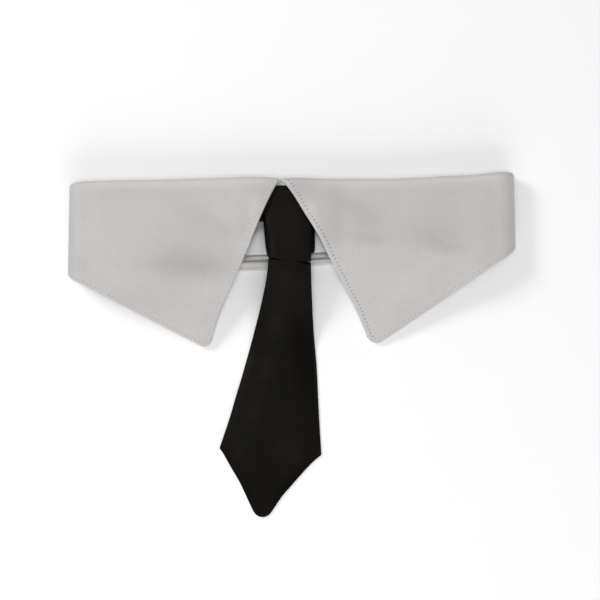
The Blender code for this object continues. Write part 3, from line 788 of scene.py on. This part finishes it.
def knot_grid():
    """(points, distances from the mouth) of the wrap, a flat arch with rounded shoulders."""
    top, mouth = KNOT[0][0], KNOT[-1][0]
    places = [mix(top, mouth + KNOT_MOUTH_DEEP, k / KNOT_ROWS) for k in range(KNOT_ROWS + 1)]
    places += [mouth + d for d in EDGE_STEPS[::-1] if d < KNOT_MOUTH_DEEP]
    rows, distances = [], []
    for place in places:
        c = {name: through([(row[0], row[k]) for row in KNOT], place) for k, name in enumerate(KNOT_COLUMNS)}
        half, middle = (c["right"] - c["left"]) / 2, (c["right"] + c["left"]) / 2
        row = []
        for k in range(KNOT_ACROSS + 1):
            angle = math.pi * (1 - k / KNOT_ACROSS)
            across = math.copysign(abs(math.cos(angle)) ** (2 / KNOT_SQUARENESS), math.cos(angle))
            up = math.sin(angle) ** (2 / KNOT_SQUARENESS) if 0 < k < KNOT_ACROSS else 0.0
            y = place - c["slant"] * ((across + 1) / 2) ** KNOT_SLANT_BEND
            x = middle + half * across
            z = c["crown"] - c["drop"] * (1 - up) - trough_depth(x, y, KNOT_FOLDS) * up
            row.append(Vector((x, y, z)))
        rows.append(row)
        distances.append([place - mouth] * len(row))
    return np.array(rows), np.array(distances)


def knot_back_grid():
    """(points, distances from an edge) of the panel behind the knot."""
    a, b, c, d = (Vector((x, y, KNOT_BACK_UNDER + SATIN / 2)) for x, y in KNOT_BACK_CORNERS)
    rows = [[a.lerp(b, k).lerp(d.lerp(c, k), row) for k in KNOT_BACK_SHARES] for row in KNOT_BACK_SHARES]
    near = [min(k, 1 - k) * KNOT_BACK_SPAN for k in KNOT_BACK_SHARES]
    return np.array(rows), np.minimum.outer(near, near)


def blade_under(y):
    """Height of the blade's underside: level in the knot, then down to the surface."""
    return BLADE_NECK_UNDER * (1 - ease((BLADE_LEAVES_KNOT - y) / (BLADE_LEAVES_KNOT - BLADE_LANDS)))


def even_line(line, steps):
    """The line again, as points at equal distances."""
    return [at_share(line, k / steps) for k in range(steps + 1)]


def blade_grids():
    """(upper, lower) points of the blade, which is crowned, and thinner along its edges and in the knot."""
    corner = max(range(len(BLADE_POINT)), key=lambda k: -BLADE_POINT[k][1])
    before, tip, after = (Vector(BLADE_POINT[corner + k]) for k in (-1, 0, 1))
    _, arc = corner_arc(before, tip, after, BLADE_POINT_RADIUS)
    left_point = even_line([*map(Vector, BLADE_POINT[:corner]), *arc[:9]], BLADE_COLUMNS // 2)
    right_point = even_line([*arc[8:], *map(Vector, BLADE_POINT[corner + 1:])], BLADE_COLUMNS // 2)
    left, right = smooth_outline(BLADE_LEFT), smooth_outline(BLADE_RIGHT)
    shares = [(1 - math.cos(math.pi * k / BLADE_COLUMNS)) / 2 for k in range(BLADE_COLUMNS + 1)]
    points = [at_share([*left_point, *right_point[1:]], u) for u in shares]
    upper, lower = [], []
    for v in spread(BLADE_ROWS):
        left_side, right_side = at_share(left, v), at_share(right, v)
        top_row, under_row = [], []
        for u, point in zip(shares, points):
            neck = left[0].lerp(right[0], u)
            sides = left_side.lerp(right_side, u)
            straight = neck.lerp(left[-1].lerp(right[-1], u), v)
            plan = neck.lerp(point, v) + sides - straight
            under = blade_under(plan.y)
            full = mix(BLADE_IN_KNOT, BLADE_THICK, ease((BLADE_SWELLS_AT - plan.y) / BLADE_SWELLS_OVER))
            full += BLADE_MOUTH_RISE * bell(plan.y - BLADE_LEAVES_KNOT, BLADE_MOUTH_LENGTH)
            edge = (1 - abs(2 * u - 1) ** BLADE_SQUARENESS) * (1 - v**BLADE_END_SQUARENESS)
            folded = edge * ease((BLADE_FOLDS_AT - plan.y) / BLADE_FOLDS_OVER)
            thick = mix(BLADE_EDGE, full, edge) - trough_depth(plan.x, plan.y, BLADE_FOLDS) * folded
            turned = BLADE_EDGE_TURN * (1 - edge) ** 3
            under_row.append(Vector((plan.x, plan.y, under + turned)))
            top_row.append(Vector((plan.x, plan.y, under + thick - turned)))
        upper.append(top_row)
        lower.append(under_row)
    return np.array(upper), np.array(lower)


def front_edge_x(wing, y):
    """Where a wing's front edge is at a height on the sheet."""
    edge = wing["edge"][::-1]
    return float(np.interp(y, [p[1] for p in edge], [p[0] for p in edge]))


def stand_shade(x, y, z, inner):
    """Shade painted on the front of the stand between the wings, with painted light in its middle."""
    if z < MID_HEIGHT or abs(x) > STAND_SHADED_X:
        return 0.0
    strap_y = roll_line(x) - STRAP_BELOW_ROLL - STRAP_WIDTH
    gap = y - stand_bottom(x)
    side = min(x - front_edge_x(LEFT_WING, y), front_edge_x(RIGHT_WING, y) - x) * WING_EDGE_LEAN
    tone = STAND_MIDDLE_PAINTED_LIGHT + STAND_BELOW_STRAP * bell(max(strap_y - y, 0), STAND_STRAP_REACH)
    tone += STAND_BY_WING * bell(max(side, 0), STAND_WING_REACH)
    tone += STAND_GROOVE * bell(gap - STAND_GROOVE_AT, STAND_GROOVE_REACH)
    tone += STAND_TURNING * (1 - ease(gap / STAND_TURNING_DEEP - 0.5))
    tone += STAND_RIM * bell(gap, STAND_RIM_REACH)
    return min(tone, STAND_DARKEST)


# Painted sheen and painted shade of the knot's and the blade's satin.
def knot_shade(x, y, z, inner):
    return trough_depth(x, y, KNOT_SHADES)


def blade_shade(x, y, z, inner):
    return trough_depth(x, y, BLADE_SHADES)


def unshaded(x, y, z, inner):
    return 0.0


def grid_normals(points, closed=False):
    """Unit normals of a grid of points."""
    if closed:
        along = np.roll(points, -1, axis=1) - np.roll(points, 1, axis=1)
    else:
        along = np.gradient(points, axis=1)
    normals = np.cross(along, np.gradient(points, axis=0))
    return normals / np.linalg.norm(normals, axis=2, keepdims=True)


def grid_faces(rows, columns, first=0, closed=False):
    """Quads of a grid of points, row by row from index first. A closed grid's last column meets its first."""
    here = first + np.arange(rows * columns).reshape(rows, columns)
    beside = np.roll(here, -1, axis=1)
    if not closed:
        here, beside = here[:, :-1], beside[:, :-1]
    return np.stack([here[:-1], here[1:], beside[1:], beside[:-1]], axis=2).reshape(-1, 4).tolist()


def rim_of(rows, columns, closed=False):
    """Loops of indices round a grid's border."""
    grid = np.arange(rows * columns).reshape(rows, columns)
    if closed:
        return [grid[0].tolist(), grid[-1, ::-1].tolist()]
    return [np.concatenate([grid[0], grid[1:, -1], grid[-1, -2::-1], grid[-2:0:-1, 0]]).tolist()]


def add_object(name, data):
    obj = bpy.data.objects.new(name, data)
    bpy.context.scene.collection.objects.link(obj)
    return obj


def lengths_along(points, axis):
    """How far each row or column of a grid lies along the cloth, in metres."""
    steps = np.linalg.norm(np.diff(points, axis=axis), axis=2).mean(axis=1 - axis)
    return np.concatenate([[0], np.cumsum(steps)]) * MM


def slab(name, upper, lower, closed=False, shade=unshaded):
    """Closed mesh object between two grids of points in millimetres, with its painted shades as an attribute.
    """
    rows, columns = upper.shape[:2]
    points = np.concatenate([upper.reshape(-1, 3), lower.reshape(-1, 3)]) * MM
    below = rows * columns
    faces = grid_faces(rows, columns, closed=closed)
    faces += [f[::-1] for f in grid_faces(rows, columns, below, closed)]
    for rim in rim_of(rows, columns, closed):
        faces += [(a, b, b + below, a + below) for a, b in zip(rim, rim[1:] + rim[:1])]
    mesh = bpy.data.meshes.new(name)
    mesh.from_pydata(points.tolist(), [], faces)
    cloth = mesh.uv_layers.new(name="cloth")
    row, column = np.indices((rows, columns)).reshape(2, -1)
    uv = np.stack([lengths_along(upper, 1)[column], -lengths_along(upper, 0)[row]], axis=1)
    uv = np.concatenate([uv, uv])
    corners = np.empty(len(mesh.loops), dtype=np.int32)
    mesh.loops.foreach_get("vertex_index", corners)
    cloth.data.foreach_set("uv", uv[corners].ravel())
    tone = mesh.attributes.new(name="tone", type="FLOAT", domain="POINT")
    shades = [shade(*point, False) for point in upper.reshape(-1, 3)]
    shades += [shade(*point, True) for point in lower.reshape(-1, 3)]
    tone.data.foreach_set("value", shades)
    mesh.shade_smooth()
    mesh.set_sharp_from_angle(angle=SHARP_ANGLE)
    return add_object(name, mesh)


def shell(name, points, halves, closed=False, shade=unshaded):
    """Cloth wall round a grid of its middle, with a half-thickness at each point."""
    out = grid_normals(points, closed) * halves[..., None]
    return slab(name, points + out, points - out, closed, shade)


def halves_of(distances, section):
    """Half-thickness of a cloth at each of these distances from its edge."""
    return np.interp(distances, [d for d, _ in section], [h for _, h in section])


class Value:
    """A shader socket's value, which sums and products can be made with."""

    def __init__(self, finish, socket):
        self.finish = finish
        self.socket = socket

    def _sum(self, operation, first, second=0.0):
        return self.finish.node("ShaderNodeMath", {"operation": operation}, {0: first, 1: second})

    def __add__(self, other):
        return self._sum("ADD", self, other)

    def __sub__(self, other):
        return self._sum("SUBTRACT", self, other)

    def __mul__(self, other):
        return self._sum("MULTIPLY", self, other)

    def sine(self):
        return self._sum("SINE", self)


class Finish:
    """A material, and the nodes that make its colour and relief."""

    def __init__(self, name, colour, roughness):
        self.material = bpy.data.materials.new(name)
        self.material.use_nodes = True
        self.tree = self.material.node_tree
        self.surface = self.tree.nodes["Principled BSDF"]
        self.material.diffuse_color = (*colour, 1)
        self.set(Roughness=roughness)
        self.surface.inputs["Base Color"].default_value = (*colour, 1)

    def set(self, **values):
        """Values of the surface's own sockets. An underline stands for a space."""
        for name, value in values.items():
            self.surface.inputs[name.replace("_", " ")].default_value = value

    def node(self, kind, settings=None, inputs=None, output=0):
        made = self.tree.nodes.new(kind)
        for name, value in (settings or {}).items():
            setattr(made, name, value)
        for key, value in (inputs or {}).items():
            if isinstance(value, Value):
                self.tree.links.new(value.socket, made.inputs[key])
            else:
                made.inputs[key].default_value = value
        return Value(self, made.outputs[output])

    def feed(self, name, value):
        self.tree.links.new(value.socket, self.surface.inputs[name])

    def place(self):
        return self.node("ShaderNodeTexCoord", output="Object")

    def cloth(self):
        return self.node("ShaderNodeUVMap", {"uv_map": "cloth"})

    def tone(self):
        """The shade painted on the piece, 0 where none is painted."""
        return self.node("ShaderNodeAttribute", {"attribute_name": "tone"}, output=2)

    def noise(self, place, scale, detail=3.0, rough=0.5):
        return self.node("ShaderNodeTexNoise", None,
                         {"Vector": place, "Scale": scale, "Detail": detail, "Roughness": rough})

    def part(self, place, axis):
        return self.node("ShaderNodeSeparateXYZ", None, {0: place}, output=axis)

    def blend(self, share, first, second):
        """Colour between two colours. The first may be a socket's."""
        start = first if isinstance(first, Value) else (*first, 1)
        return self.node("ShaderNodeMix", {"data_type": "RGBA"}, {"Factor": share, 6: start, 7: (*second, 1)},
                         output=2)

    def threads(self, scale):
        """Noise stretched along the cloth, as fine as its yarns."""
        place = self.node("ShaderNodeMapping", None, {"Vector": self.cloth(), "Scale": scale})
        return self.noise(place, 1.0, 2.0)

    def relief(self, height, distance, strength):
        values = {"Height": height, "Distance": distance, "Strength": strength}
        self.feed("Normal", self.node("ShaderNodeBump", None, values))


def shade_of(colour, share):
    return tuple(c * share for c in colour)


def cotton_finish(name, colour, sizes):
    """Fused cotton: a close plain weave, faint clouding and a few slubs, with painted shade and painted
    light.
    """
    finish = Finish(name, colour, 0.86)
    finish.set(Specular_IOR_Level=0.25, Sheen_Weight=0.12, Sheen_Roughness=0.6)
    place, cloth = finish.place(), finish.cloth()
    clouds = finish.noise(place, COTTON_CLOUDS, 3.0)
    fine = finish.noise(place, COTTON_GRAIN, 2.0)
    # Painted shade darkens and painted light lightens the cotton, along with its random clouding and grain.
    share = finish.tone() + 0.5 - (clouds - 0.5) * COTTON_CLOUDING - (fine - 0.5) * COTTON_SPECKLE
    shaded_cotton = tuple(c * part for c, part in zip(shade_of(colour, 0.5), SHADE_TINT))
    finish.feed("Base Color", finish.blend(share, shade_of(colour, 1.5), shaded_cotton))
    turns = 2 * math.pi / (sizes.cotton_yarn * MM)
    warp = (finish.part(cloth, "X") * turns).sine()
    weft = (finish.part(cloth, "Y") * turns).sine()
    slubs = finish.threads(COTTON_YARNS)
    height = warp * weft * WEAVE_HEIGHT + slubs * SLUB_HEIGHT + fine * GRAIN_HEIGHT
    finish.relief(height, CLOTH_RELIEF, 0.6)
    return finish.material


def satin_finish(name, sizes):
    """Black satin: long floats along the cloth, dust-fine grain and a broken soft sheen, part gloss, part
    painted.
    """
    finish = Finish(name, sizes.satin_warm, sizes.satin_roughness)
    finish.set(Specular_IOR_Level=0.15, Specular_Tint=(1.0, 0.93, 0.82, 1.0))
    place = finish.place()
    clouds = finish.noise(place, SATIN_CLOUDS, 2.0)
    grain = finish.noise(place, SATIN_GRAIN, 3.0, 0.7)
    hues = (finish.noise(place, SATIN_HUES, 2.0) - 0.5) * SATIN_HUE_RANGE + 0.5
    # Painted sheen and painted shade, with random clouding and grain, set the satin's colour between its
    # painted sheen and its darkest.
    share = finish.tone() + 0.5 - (clouds - 0.5) * SATIN_CLOUDING - (grain - 0.5) * SATIN_SPECKLE
    sheen = finish.blend(hues, shade_of(sizes.satin_warm, 2.0), shade_of(sizes.satin_cool, 2.0))
    finish.feed("Base Color", finish.blend(share, sheen, SATIN_DARKEST))
    spread_out = finish.tone() * SATIN_SHADE_ROUGHNESS + (grain - 0.5) * SATIN_GRAIN_ROUGHNESS
    finish.feed("Roughness", spread_out + sizes.satin_roughness)
    finish.relief(finish.threads(SATIN_YARNS) + grain * GRAIN_HEIGHT, CLOTH_RELIEF, 0.55)
    return finish.material


def thread_finish(name, colour, roughness=0.6):
    """Sewing thread, with the fine slant of its twist."""
    finish = Finish(name, colour, roughness)
    place = finish.place()
    twist = ((finish.part(place, "X") + finish.part(place, "Y")) * (2 * math.pi / THREAD_TWIST)).sine()
    finish.feed("Base Color", finish.blend(twist * 0.5 + 0.5, shade_of(colour, 0.85), shade_of(colour, 1.05)))
    finish.relief(twist, 0.00003, 0.6)
    return finish.material


def button_finish(name, colour):
    """Moulded button with faint pearly clouding."""
    finish = Finish(name, colour, 0.25)
    finish.set(Specular_IOR_Level=0.5, Coat_Roughness=0.1)
    clouds = finish.noise(finish.place(), 350.0, 2.0)
    finish.feed("Base Color", finish.blend(clouds, shade_of(colour, 0.9), shade_of(colour, 1.05)))
    finish.feed("Roughness", clouds * 0.12 + 0.2)
    return finish.material


def floor_finish(name, colour):
    finish = Finish(name, colour, 0.9)
    finish.set(Specular_IOR_Level=0.1)
    specks = finish.noise(finish.place(), 30.0, 2.0)
    finish.feed("Base Color", finish.blend(specks, shade_of(colour, 0.99), colour))
    return finish.material


def dress(obj, material, slot, *nodes):
    """Gives a finished piece its material and its body, and hides the solids it stands for. Its slot is not
    used.
    """
    obj.data.materials.clear()
    obj.data.materials.append(material)
    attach(obj, "root")
    if nodes:
        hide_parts(*nodes)


def modify(obj, kind, **values):
    """Adds a modifier with these values to the active object, and applies it."""
    made = obj.modifiers.new(kind, kind)
    for name, value in values.items():
        setattr(made, name, value)
    bpy.ops.object.modifier_apply(modifier=made.name)


def taken(obj):
    """Points and faces of an object's mesh. The object itself goes."""
    points = np.array([v.co for v in obj.data.vertices])
    faces = [tuple(f.vertices) for f in obj.data.polygons]
    bpy.data.objects.remove(obj)
    return points, faces


def one_stitch(length, width):
    """Points and faces of one stitch lying along X, rounded and pinched at its ends."""
    bpy.ops.mesh.primitive_cylinder_add(vertices=6, radius=width / 2, depth=length, end_fill_type="NGON",
                                        rotation=(0, math.pi / 2, 0))
    bpy.ops.object.transform_apply(location=False, rotation=True, scale=False)
    bpy.ops.object.mode_set(mode="EDIT")
    for side in (-1, 1):
        bpy.ops.mesh.select_all(action="SELECT")
        bpy.ops.mesh.bisect(plane_co=(side * length * STITCH_PINCH, 0, 0), plane_no=(1, 0, 0))
    bpy.ops.object.mode_set(mode="OBJECT")
    points, faces = taken(bpy.context.object)
    ends = np.abs(points[:, 0]) > length * (STITCH_PINCH + 0.5) / 2
    points[ends, 1:] *= STITCH_END
    points[ends, 2] -= width * STITCH_DIP
    return points, faces


def one_hole(radius):
    """Points and faces of one needle hole: a small dent with its middle pushed in."""
    bpy.ops.mesh.primitive_circle_add(vertices=7, radius=radius, fill_type="TRIFAN")
    points, faces = taken(bpy.context.object)
    middle = np.hypot(points[:, 0], points[:, 1]) < radius * 0.5
    points[middle, 2] -= radius * HOLE_DEPTH
    return points, faces


def row_of(name, shape, runs, pitch, start, rise, reach, size_at=None):
    """Joined copies of a small shape along runs of (place, out) pairs in millimetres."""
    points, faces = shape
    all_points, all_faces = [], []
    wander = random.Random(7)
    for run in runs:
        places = np.array([p for p, _ in run])
        outs = np.array([n for _, n in run])
        lengths = np.concatenate([[0], np.cumsum(np.linalg.norm(np.diff(places, axis=0), axis=1))])
        for k in range(int(lengths[-1] / pitch)):
            at = (k + start) * pitch + wander.uniform(-STITCH_STRAY, STITCH_STRAY)
            ends = [np.array([np.interp(at + shift, lengths, places[:, axis]) for axis in range(3)])
                    for shift in (-reach, reach)]
            out = np.array([np.interp(at, lengths, outs[:, axis]) for axis in range(3)])
            along = ends[1] - ends[0]
            if np.linalg.norm(along) < reach:
                continue
            along /= np.linalg.norm(along)
            aside = np.cross(out, along)
            aside /= np.linalg.norm(aside)
            up = np.cross(along, aside)
            tilt = wander.uniform(-STITCH_TILT, STITCH_TILT)
            along, aside = along + aside * tilt, aside - along * tilt
            centre = (ends[0] + ends[1]) / 2 + up * rise
            size = size_at(centre) if size_at else 1.0
            first = len(all_points) * len(points)
            all_points.append(centre * MM + size * points @ np.array([along, aside, up]))
            all_faces += [tuple(first + v for v in f) for f in faces]
    mesh = bpy.data.meshes.new(name)
    mesh.from_pydata(np.concatenate(all_points).tolist(), [], all_faces)
    mesh.shade_smooth()
    return add_object(name, mesh)


def stitch_rows(points, halves, distance):
    """Outer and inner runs at a distance from a grid's edges: down its first columns, along its last rows and
    up its last columns."""
    normals = grid_normals(points)
    column = EDGE_STEPS.index(distance)
    row, far = points.shape[0] - 1 - column, points.shape[1] - 1 - column
    path = [(r, column) for r in range(row)] + [(row, c) for c in range(column, far)]
    path += [(r, far) for r in range(row, -1, -1)]
    outs = [[side * normals[at] for at in path] for side in (1, -1)]
    return [[(points[at] + out * halves[at], out) for at, out in zip(path, run)] for run in outs]


def hole_size(centre):
    """Needle holes are open along the right wing's front edge, and more or less closed everywhere else."""
    x, y, z = centre
    if z < MID_HEIGHT - LEAF_FOLD / 2 and y > HIDDEN_HOLES_Y:
        return HIDDEN_HOLES
    for wing, size in ((LEFT_WING, LEFT_FRONT_HOLES), (RIGHT_WING, 1.0)):
        if abs(x - front_edge_x(wing, y)) < EDGE_DEEP:
            return size
    return LOWER_HOLES


def sew(name, runs, sizes, groove_shade_share=1.0):
    """A row of stitches and its needle holes, dressed. The holes' dark colour is painted shade."""
    pitch, width, length = sizes.stitch_pitch, sizes.thread_width, sizes.stitch_length
    stitch = one_stitch(length * MM, width * MM)
    thread = row_of(name + "_stitches", stitch, runs, pitch, 0.5, width * THREAD_RISE_SHARE, length / 2)
    # The share darkens the thread, as shade painted on a thread sunk in its groove.
    colour = shade_of(sizes.thread_colour, groove_shade_share)
    dress(thread, thread_finish(name + "_thread", colour), "collar_cotton")
    hole = one_hole(sizes.hole_radius * MM)
    holes = row_of(name + "_needle_holes", hole, runs, pitch, 0.0, HOLE_RISE, HOLE_REACH, hole_size)
    dress(holes, thread_finish(name + "_hole_shade", sizes.hole_shadow_colour, 0.95), "collar_cotton")
    return [thread, holes]


def colour_setting(name, description, default):
    return FloatVectorProperty(
        name=name, description=description, default=default, subtype="COLOR", min=0, max=1
    )


def length_setting(name, description, default, least, most):
    """A length in millimetres."""
    description += " in millimetres"
    return FloatProperty(name=name, description=description, default=default, min=least, max=most)


def share_setting(name, description, default):
    return FloatProperty(name=name, description=description, default=default, min=0)


class CollarSizes(PropertyGroup):
    cotton_colour: colour_setting("Cotton", "Colour of the collar's cloth", (0.513, 0.502, 0.494))
    # The stand is the same cotton as the leaf, painted lighter and a little cooler to offset the shade of its
    # recess.
    stand_colour_painted_lighter: colour_setting("Stand's cotton", "Colour of the stand's cloth", (0.572, 0.566, 0.572))
    cotton_yarn: length_setting("Yarn", "Space from yarn to yarn", 0.28, 0.1, 1)
    thread_colour: colour_setting("Thread", "Colour of the topstitching", (0.70, 0.69, 0.69))
    stitch_pitch: length_setting("Stitch pitch", "Length from stitch to stitch", 1.85, 1, 4)
    stitch_length: length_setting("Stitch length", "Length of thread that shows", 1.3, 0.5, 3)
    thread_width: length_setting("Thread width", "Width of the thread", 0.34, 0.1, 1)
    hole_radius: length_setting("Needle hole", "Radius of a needle hole", 0.25, 0.05, 0.5)
    # Dark colour painted in the needle holes, as their shadow.
    hole_shadow_colour: colour_setting("Hole shade", "Colour inside a needle hole", (0.07, 0.067, 0.068))
    button_colour: colour_setting("Button", "Colour of the stand's button", (0.80, 0.79, 0.76))


class TieSizes(PropertyGroup):
    # The satin's two colours, doubled, are its painted sheen.
    satin_warm: colour_setting(
        "Satin's warm threads", "Warmer of the two colours in the tie's sheen", (0.0062, 0.0047, 0.0036)
    )
    satin_cool: colour_setting(
        "Satin's cool threads", "Cooler of the two colours in the tie's sheen", (0.0042, 0.0047, 0.0042)
    )
    satin_roughness: share_setting("Satin roughness", "How widely the satin spreads its sheen", 0.36)


class StageSizes(PropertyGroup):
    floor_colour: colour_setting("Floor", "Colour of the surface", (0.93, 0.93, 0.93))
    room_light: share_setting("Room light", "Strength of the even light from all round", 0.28)
    lamp_power: share_setting("Lamps", "Share of full power that the soft lamps have", 1)
    camera_height: FloatProperty(
        name="Camera height", description="Height of the camera over the surface", default=1.0205,
        unit="LENGTH", min=0.1,
    )


class COLLAR_OT_leaf(Operator):
    """Makes the leaf, with its turned edges, creases and topstitching"""

    bl_idname = "collar.leaf"
    bl_label = "Leaf"

    def execute(self, context):
        sizes = context.scene.collar_sizes
        points, gaps = leaf_grid()
        halves = halves_of(gaps, EDGE_SECTION)
        leaf = shell("leaf", points, halves, shade=leaf_shade)
        cotton = cotton_finish("leaf_cotton", sizes.cotton_colour, sizes)
        dress(leaf, cotton, "collar_cotton", "collar_leaf")
        sewing = sew("leaf", stitch_rows(points, halves, LEAF_STITCHES_IN), sizes)
        return {"FINISHED"}


class COLLAR_OT_stand(Operator):
    """Makes the stand with its lapped ends and its stitching"""

    bl_idname = "collar.stand"
    bl_label = "Stand"

    def execute(self, context):
        sizes = context.scene.collar_sizes
        points, gaps = stand_grid()
        halves = halves_of(gaps, STAND_EDGE_SECTION)
        stand = shell("stand", points, halves, shade=stand_shade)
        cotton = cotton_finish("stand_cotton", sizes.stand_colour_painted_lighter, sizes)
        dress(stand, cotton, "collar_cotton", "collar_stand")
        sewing = sew("stand", stitch_rows(points, halves, STAND_STITCHES_IN), sizes, STAND_THREAD_SHADE_SHARE)
        return {"FINISHED"}


class COLLAR_OT_button(Operator):
    """Makes the stand's button, dished, with four holes and its thread"""

    bl_idname = "collar.button"
    bl_label = "Button"

    def execute(self, context):
        sizes = context.scene.collar_sizes
        centre = Vector((BUTTON_X, BUTTON_Y, STAND_FACE + SEAM + BUTTON_THICK / 2)) * MM
        bpy.ops.mesh.primitive_cylinder_add(vertices=64, radius=BUTTON_RADIUS * MM, depth=BUTTON_THICK * MM,
                                            location=centre)
        button = bpy.context.object
        button.name = "button"
        bpy.ops.object.transform_apply(location=True, rotation=True, scale=True)
        bpy.ops.object.mode_set(mode="EDIT")
        bpy.ops.mesh.select_mode(type="FACE")
        bpy.ops.mesh.select_all(action="DESELECT")
        bpy.ops.object.mode_set(mode="OBJECT")
        for face in button.data.polygons:
            face.select = face.normal.z > 0.9
        bpy.ops.object.mode_set(mode="EDIT")
        bpy.ops.mesh.inset(thickness=BUTTON_RIM * MM, depth=0)
        bpy.ops.mesh.inset(thickness=BUTTON_DISH * MM, depth=-BUTTON_DISH * MM)
        bpy.ops.object.mode_set(mode="OBJECT")
        for k in range(4):
            angle = math.pi * (k + 0.5) / 2
            out = Vector((math.cos(angle), math.sin(angle), 0)) * BUTTON_HOLE_OUT * MM
            bpy.ops.mesh.primitive_cylinder_add(vertices=20, radius=BUTTON_HOLE * MM,
                                                depth=3 * BUTTON_THICK * MM, location=centre + out)
            hole = bpy.context.object
            hole.select_set(False)
            button.select_set(True)
            bpy.context.view_layer.objects.active = button
            modify(button, "BOOLEAN", operation="DIFFERENCE", solver="EXACT", object=hole)
            bpy.data.objects.remove(hole)
        modify(button, "BEVEL", width=BUTTON_ROUNDING * MM, segments=3, limit_method="ANGLE",
               angle_limit=BUTTON_SHARP)
        bpy.ops.object.shade_smooth_by_angle(angle=BUTTON_SHARP)
        dress(button, button_finish("button_shell", sizes.button_colour), "button", "stand_button")
        reach = BUTTON_HOLE_OUT * math.sqrt(0.5)
        height = STAND_FACE + SEAM + BUTTON_THICK - BUTTON_DISH + STRAND_OVER_DISH
        strands = []
        for side in (-1, 1):
            for shift in (-STRAND_APART, STRAND_APART):
                y = BUTTON_Y + side * reach + shift
                strands.append([(np.array([BUTTON_X + x, y, height]), np.array([0.0, 0.0, 1.0]))
                                for x in (-reach, reach)])
        strand = one_stitch(2 * reach * MM, sizes.thread_width * MM)
        thread = row_of("button_thread", strand, strands, 2 * reach, 0.5, STRAND_RISE, reach)
        dress(thread, thread_finish("button_thread_white", sizes.thread_colour), "button")
        return {"FINISHED"}


class TIE_OT_strap(Operator):
    """Makes the satin strap round the stand"""

    bl_idname = "tie.strap"
    bl_label = "Strap"

    def execute(self, context):
        sizes = context.scene.tie_sizes
        points, gaps = strap_grid()
        strap = shell("strap", points, halves_of(gaps, SATIN_SECTION), closed=True)
        dress(strap, satin_finish("strap_satin", sizes), "tie_satin", "tie_strap")
        return {"FINISHED"}


class TIE_OT_knot(Operator):
    """Makes the knot: its back panel and the satin wrapped over it"""

    bl_idname = "tie.knot"
    bl_label = "Knot"

    def execute(self, context):
        sizes = context.scene.tie_sizes
        satin = satin_finish("knot_satin", sizes)
        points, gaps = knot_back_grid()
        back = shell("knot_panel", points, halves_of(gaps, SATIN_SECTION))
        dress(back, satin, "tie_satin", "knot_back")
        points, gaps = knot_grid()
        wrap = shell("knot_wrapping", points, halves_of(gaps, SATIN_SECTION), shade=knot_shade)
        dress(wrap, satin, "tie_satin", "knot_wrap")
        return {"FINISHED"}


class TIE_OT_blade(Operator):
    """Makes the flared blade with its pointed end"""

    bl_idname = "tie.blade"
    bl_label = "Blade"

    def execute(self, context):
        sizes = context.scene.tie_sizes
        upper, lower = blade_grids()
        blade = slab("blade", upper, lower, shade=blade_shade)
        dress(blade, satin_finish("blade_satin", sizes), "tie_satin", "tie_blade")
        return {"FINISHED"}


class COLLAR_OT_stage(Operator):
    """Makes the pale surface, the soft light and the camera straight above"""

    bl_idname = "collar.stage"
    bl_label = "Stage"

    def execute(self, context):
        sizes = context.scene.stage_sizes
        bpy.ops.mesh.primitive_plane_add(size=FLOOR_SIZE, location=(0, 0, 0))
        floor = bpy.context.object
        floor.name = "pale_surface"
        floor.data.materials.append(floor_finish("pale_surface", sizes.floor_colour))
        world = bpy.data.worlds.new("room")
        world.use_nodes = True
        room = world.node_tree.nodes["Background"]
        room.inputs["Color"].default_value = (1.0, 1.0, 1.0, 1.0)
        room.inputs["Strength"].default_value = sizes.room_light
        context.scene.world = world
        for values in LAMPS:
            lamp = dict(zip(LAMP_COLUMNS, values))
            light = bpy.data.lights.new(lamp["name"], "AREA")
            light.shape = "SQUARE"
            light.size = lamp["size"]
            light.energy = lamp["power"] * sizes.lamp_power
            holder = add_object(lamp["name"], light)
            holder.location = (lamp["x"], lamp["y"], lamp["z"])
            holder.rotation_euler = (-holder.location).to_track_quat("-Z", "Y").to_euler()
            holder.visible_glossy = lamp["in_sheen"]
        lens = bpy.data.cameras.new("camera")
        lens.lens = CAMERA_LENS
        lens.sensor_width = CAMERA_SENSOR
        lens.clip_start = 0.01
        camera = add_object("camera", lens)
        camera.location = (*CAMERA_PLACE, sizes.camera_height)
        context.scene.camera = camera
        context.scene.view_settings.view_transform = "Standard"
        return {"FINISHED"}


class COLLAR_PT_panel(Panel):
    bl_label = "Collar with tie"
    bl_idname = "COLLAR_PT_panel"
    bl_space_type = "VIEW_3D"
    bl_region_type = "UI"
    bl_category = "Collar"

    def draw(self, context):
        scene = context.scene
        groups = (
            (scene.collar_sizes, CollarSizes, ("collar.leaf", "collar.stand", "collar.button")),
            (scene.tie_sizes, TieSizes, ("tie.strap", "tie.knot", "tie.blade")),
            (scene.stage_sizes, StageSizes, ("collar.stage",)),
        )
        for values, kind, makers in groups:
            box = self.layout.box()
            for name in kind.__annotations__:
                box.prop(values, name)
            for maker in makers:
                box.operator(maker)


CLASSES = (
    CollarSizes, TieSizes, StageSizes, COLLAR_OT_leaf, COLLAR_OT_stand, COLLAR_OT_button, TIE_OT_strap,
    TIE_OT_knot, TIE_OT_blade, COLLAR_OT_stage, COLLAR_PT_panel,
)


def register():
    for kind in CLASSES:
        bpy.utils.register_class(kind)
    bpy.types.Scene.collar_sizes = PointerProperty(type=CollarSizes)
    bpy.types.Scene.tie_sizes = PointerProperty(type=TieSizes)
    bpy.types.Scene.stage_sizes = PointerProperty(type=StageSizes)


def unregister():
    del bpy.types.Scene.collar_sizes
    del bpy.types.Scene.tie_sizes
    del bpy.types.Scene.stage_sizes
    for kind in reversed(CLASSES):
        bpy.utils.unregister_class(kind)


def main():
    register()
    bpy.ops.collar.leaf()
    bpy.ops.collar.stand()
    bpy.ops.collar.button()
    bpy.ops.tie.strap()
    bpy.ops.tie.knot()
    bpy.ops.tie.blade()
    bpy.ops.collar.stage()


if __name__ == "__main__":
    main()
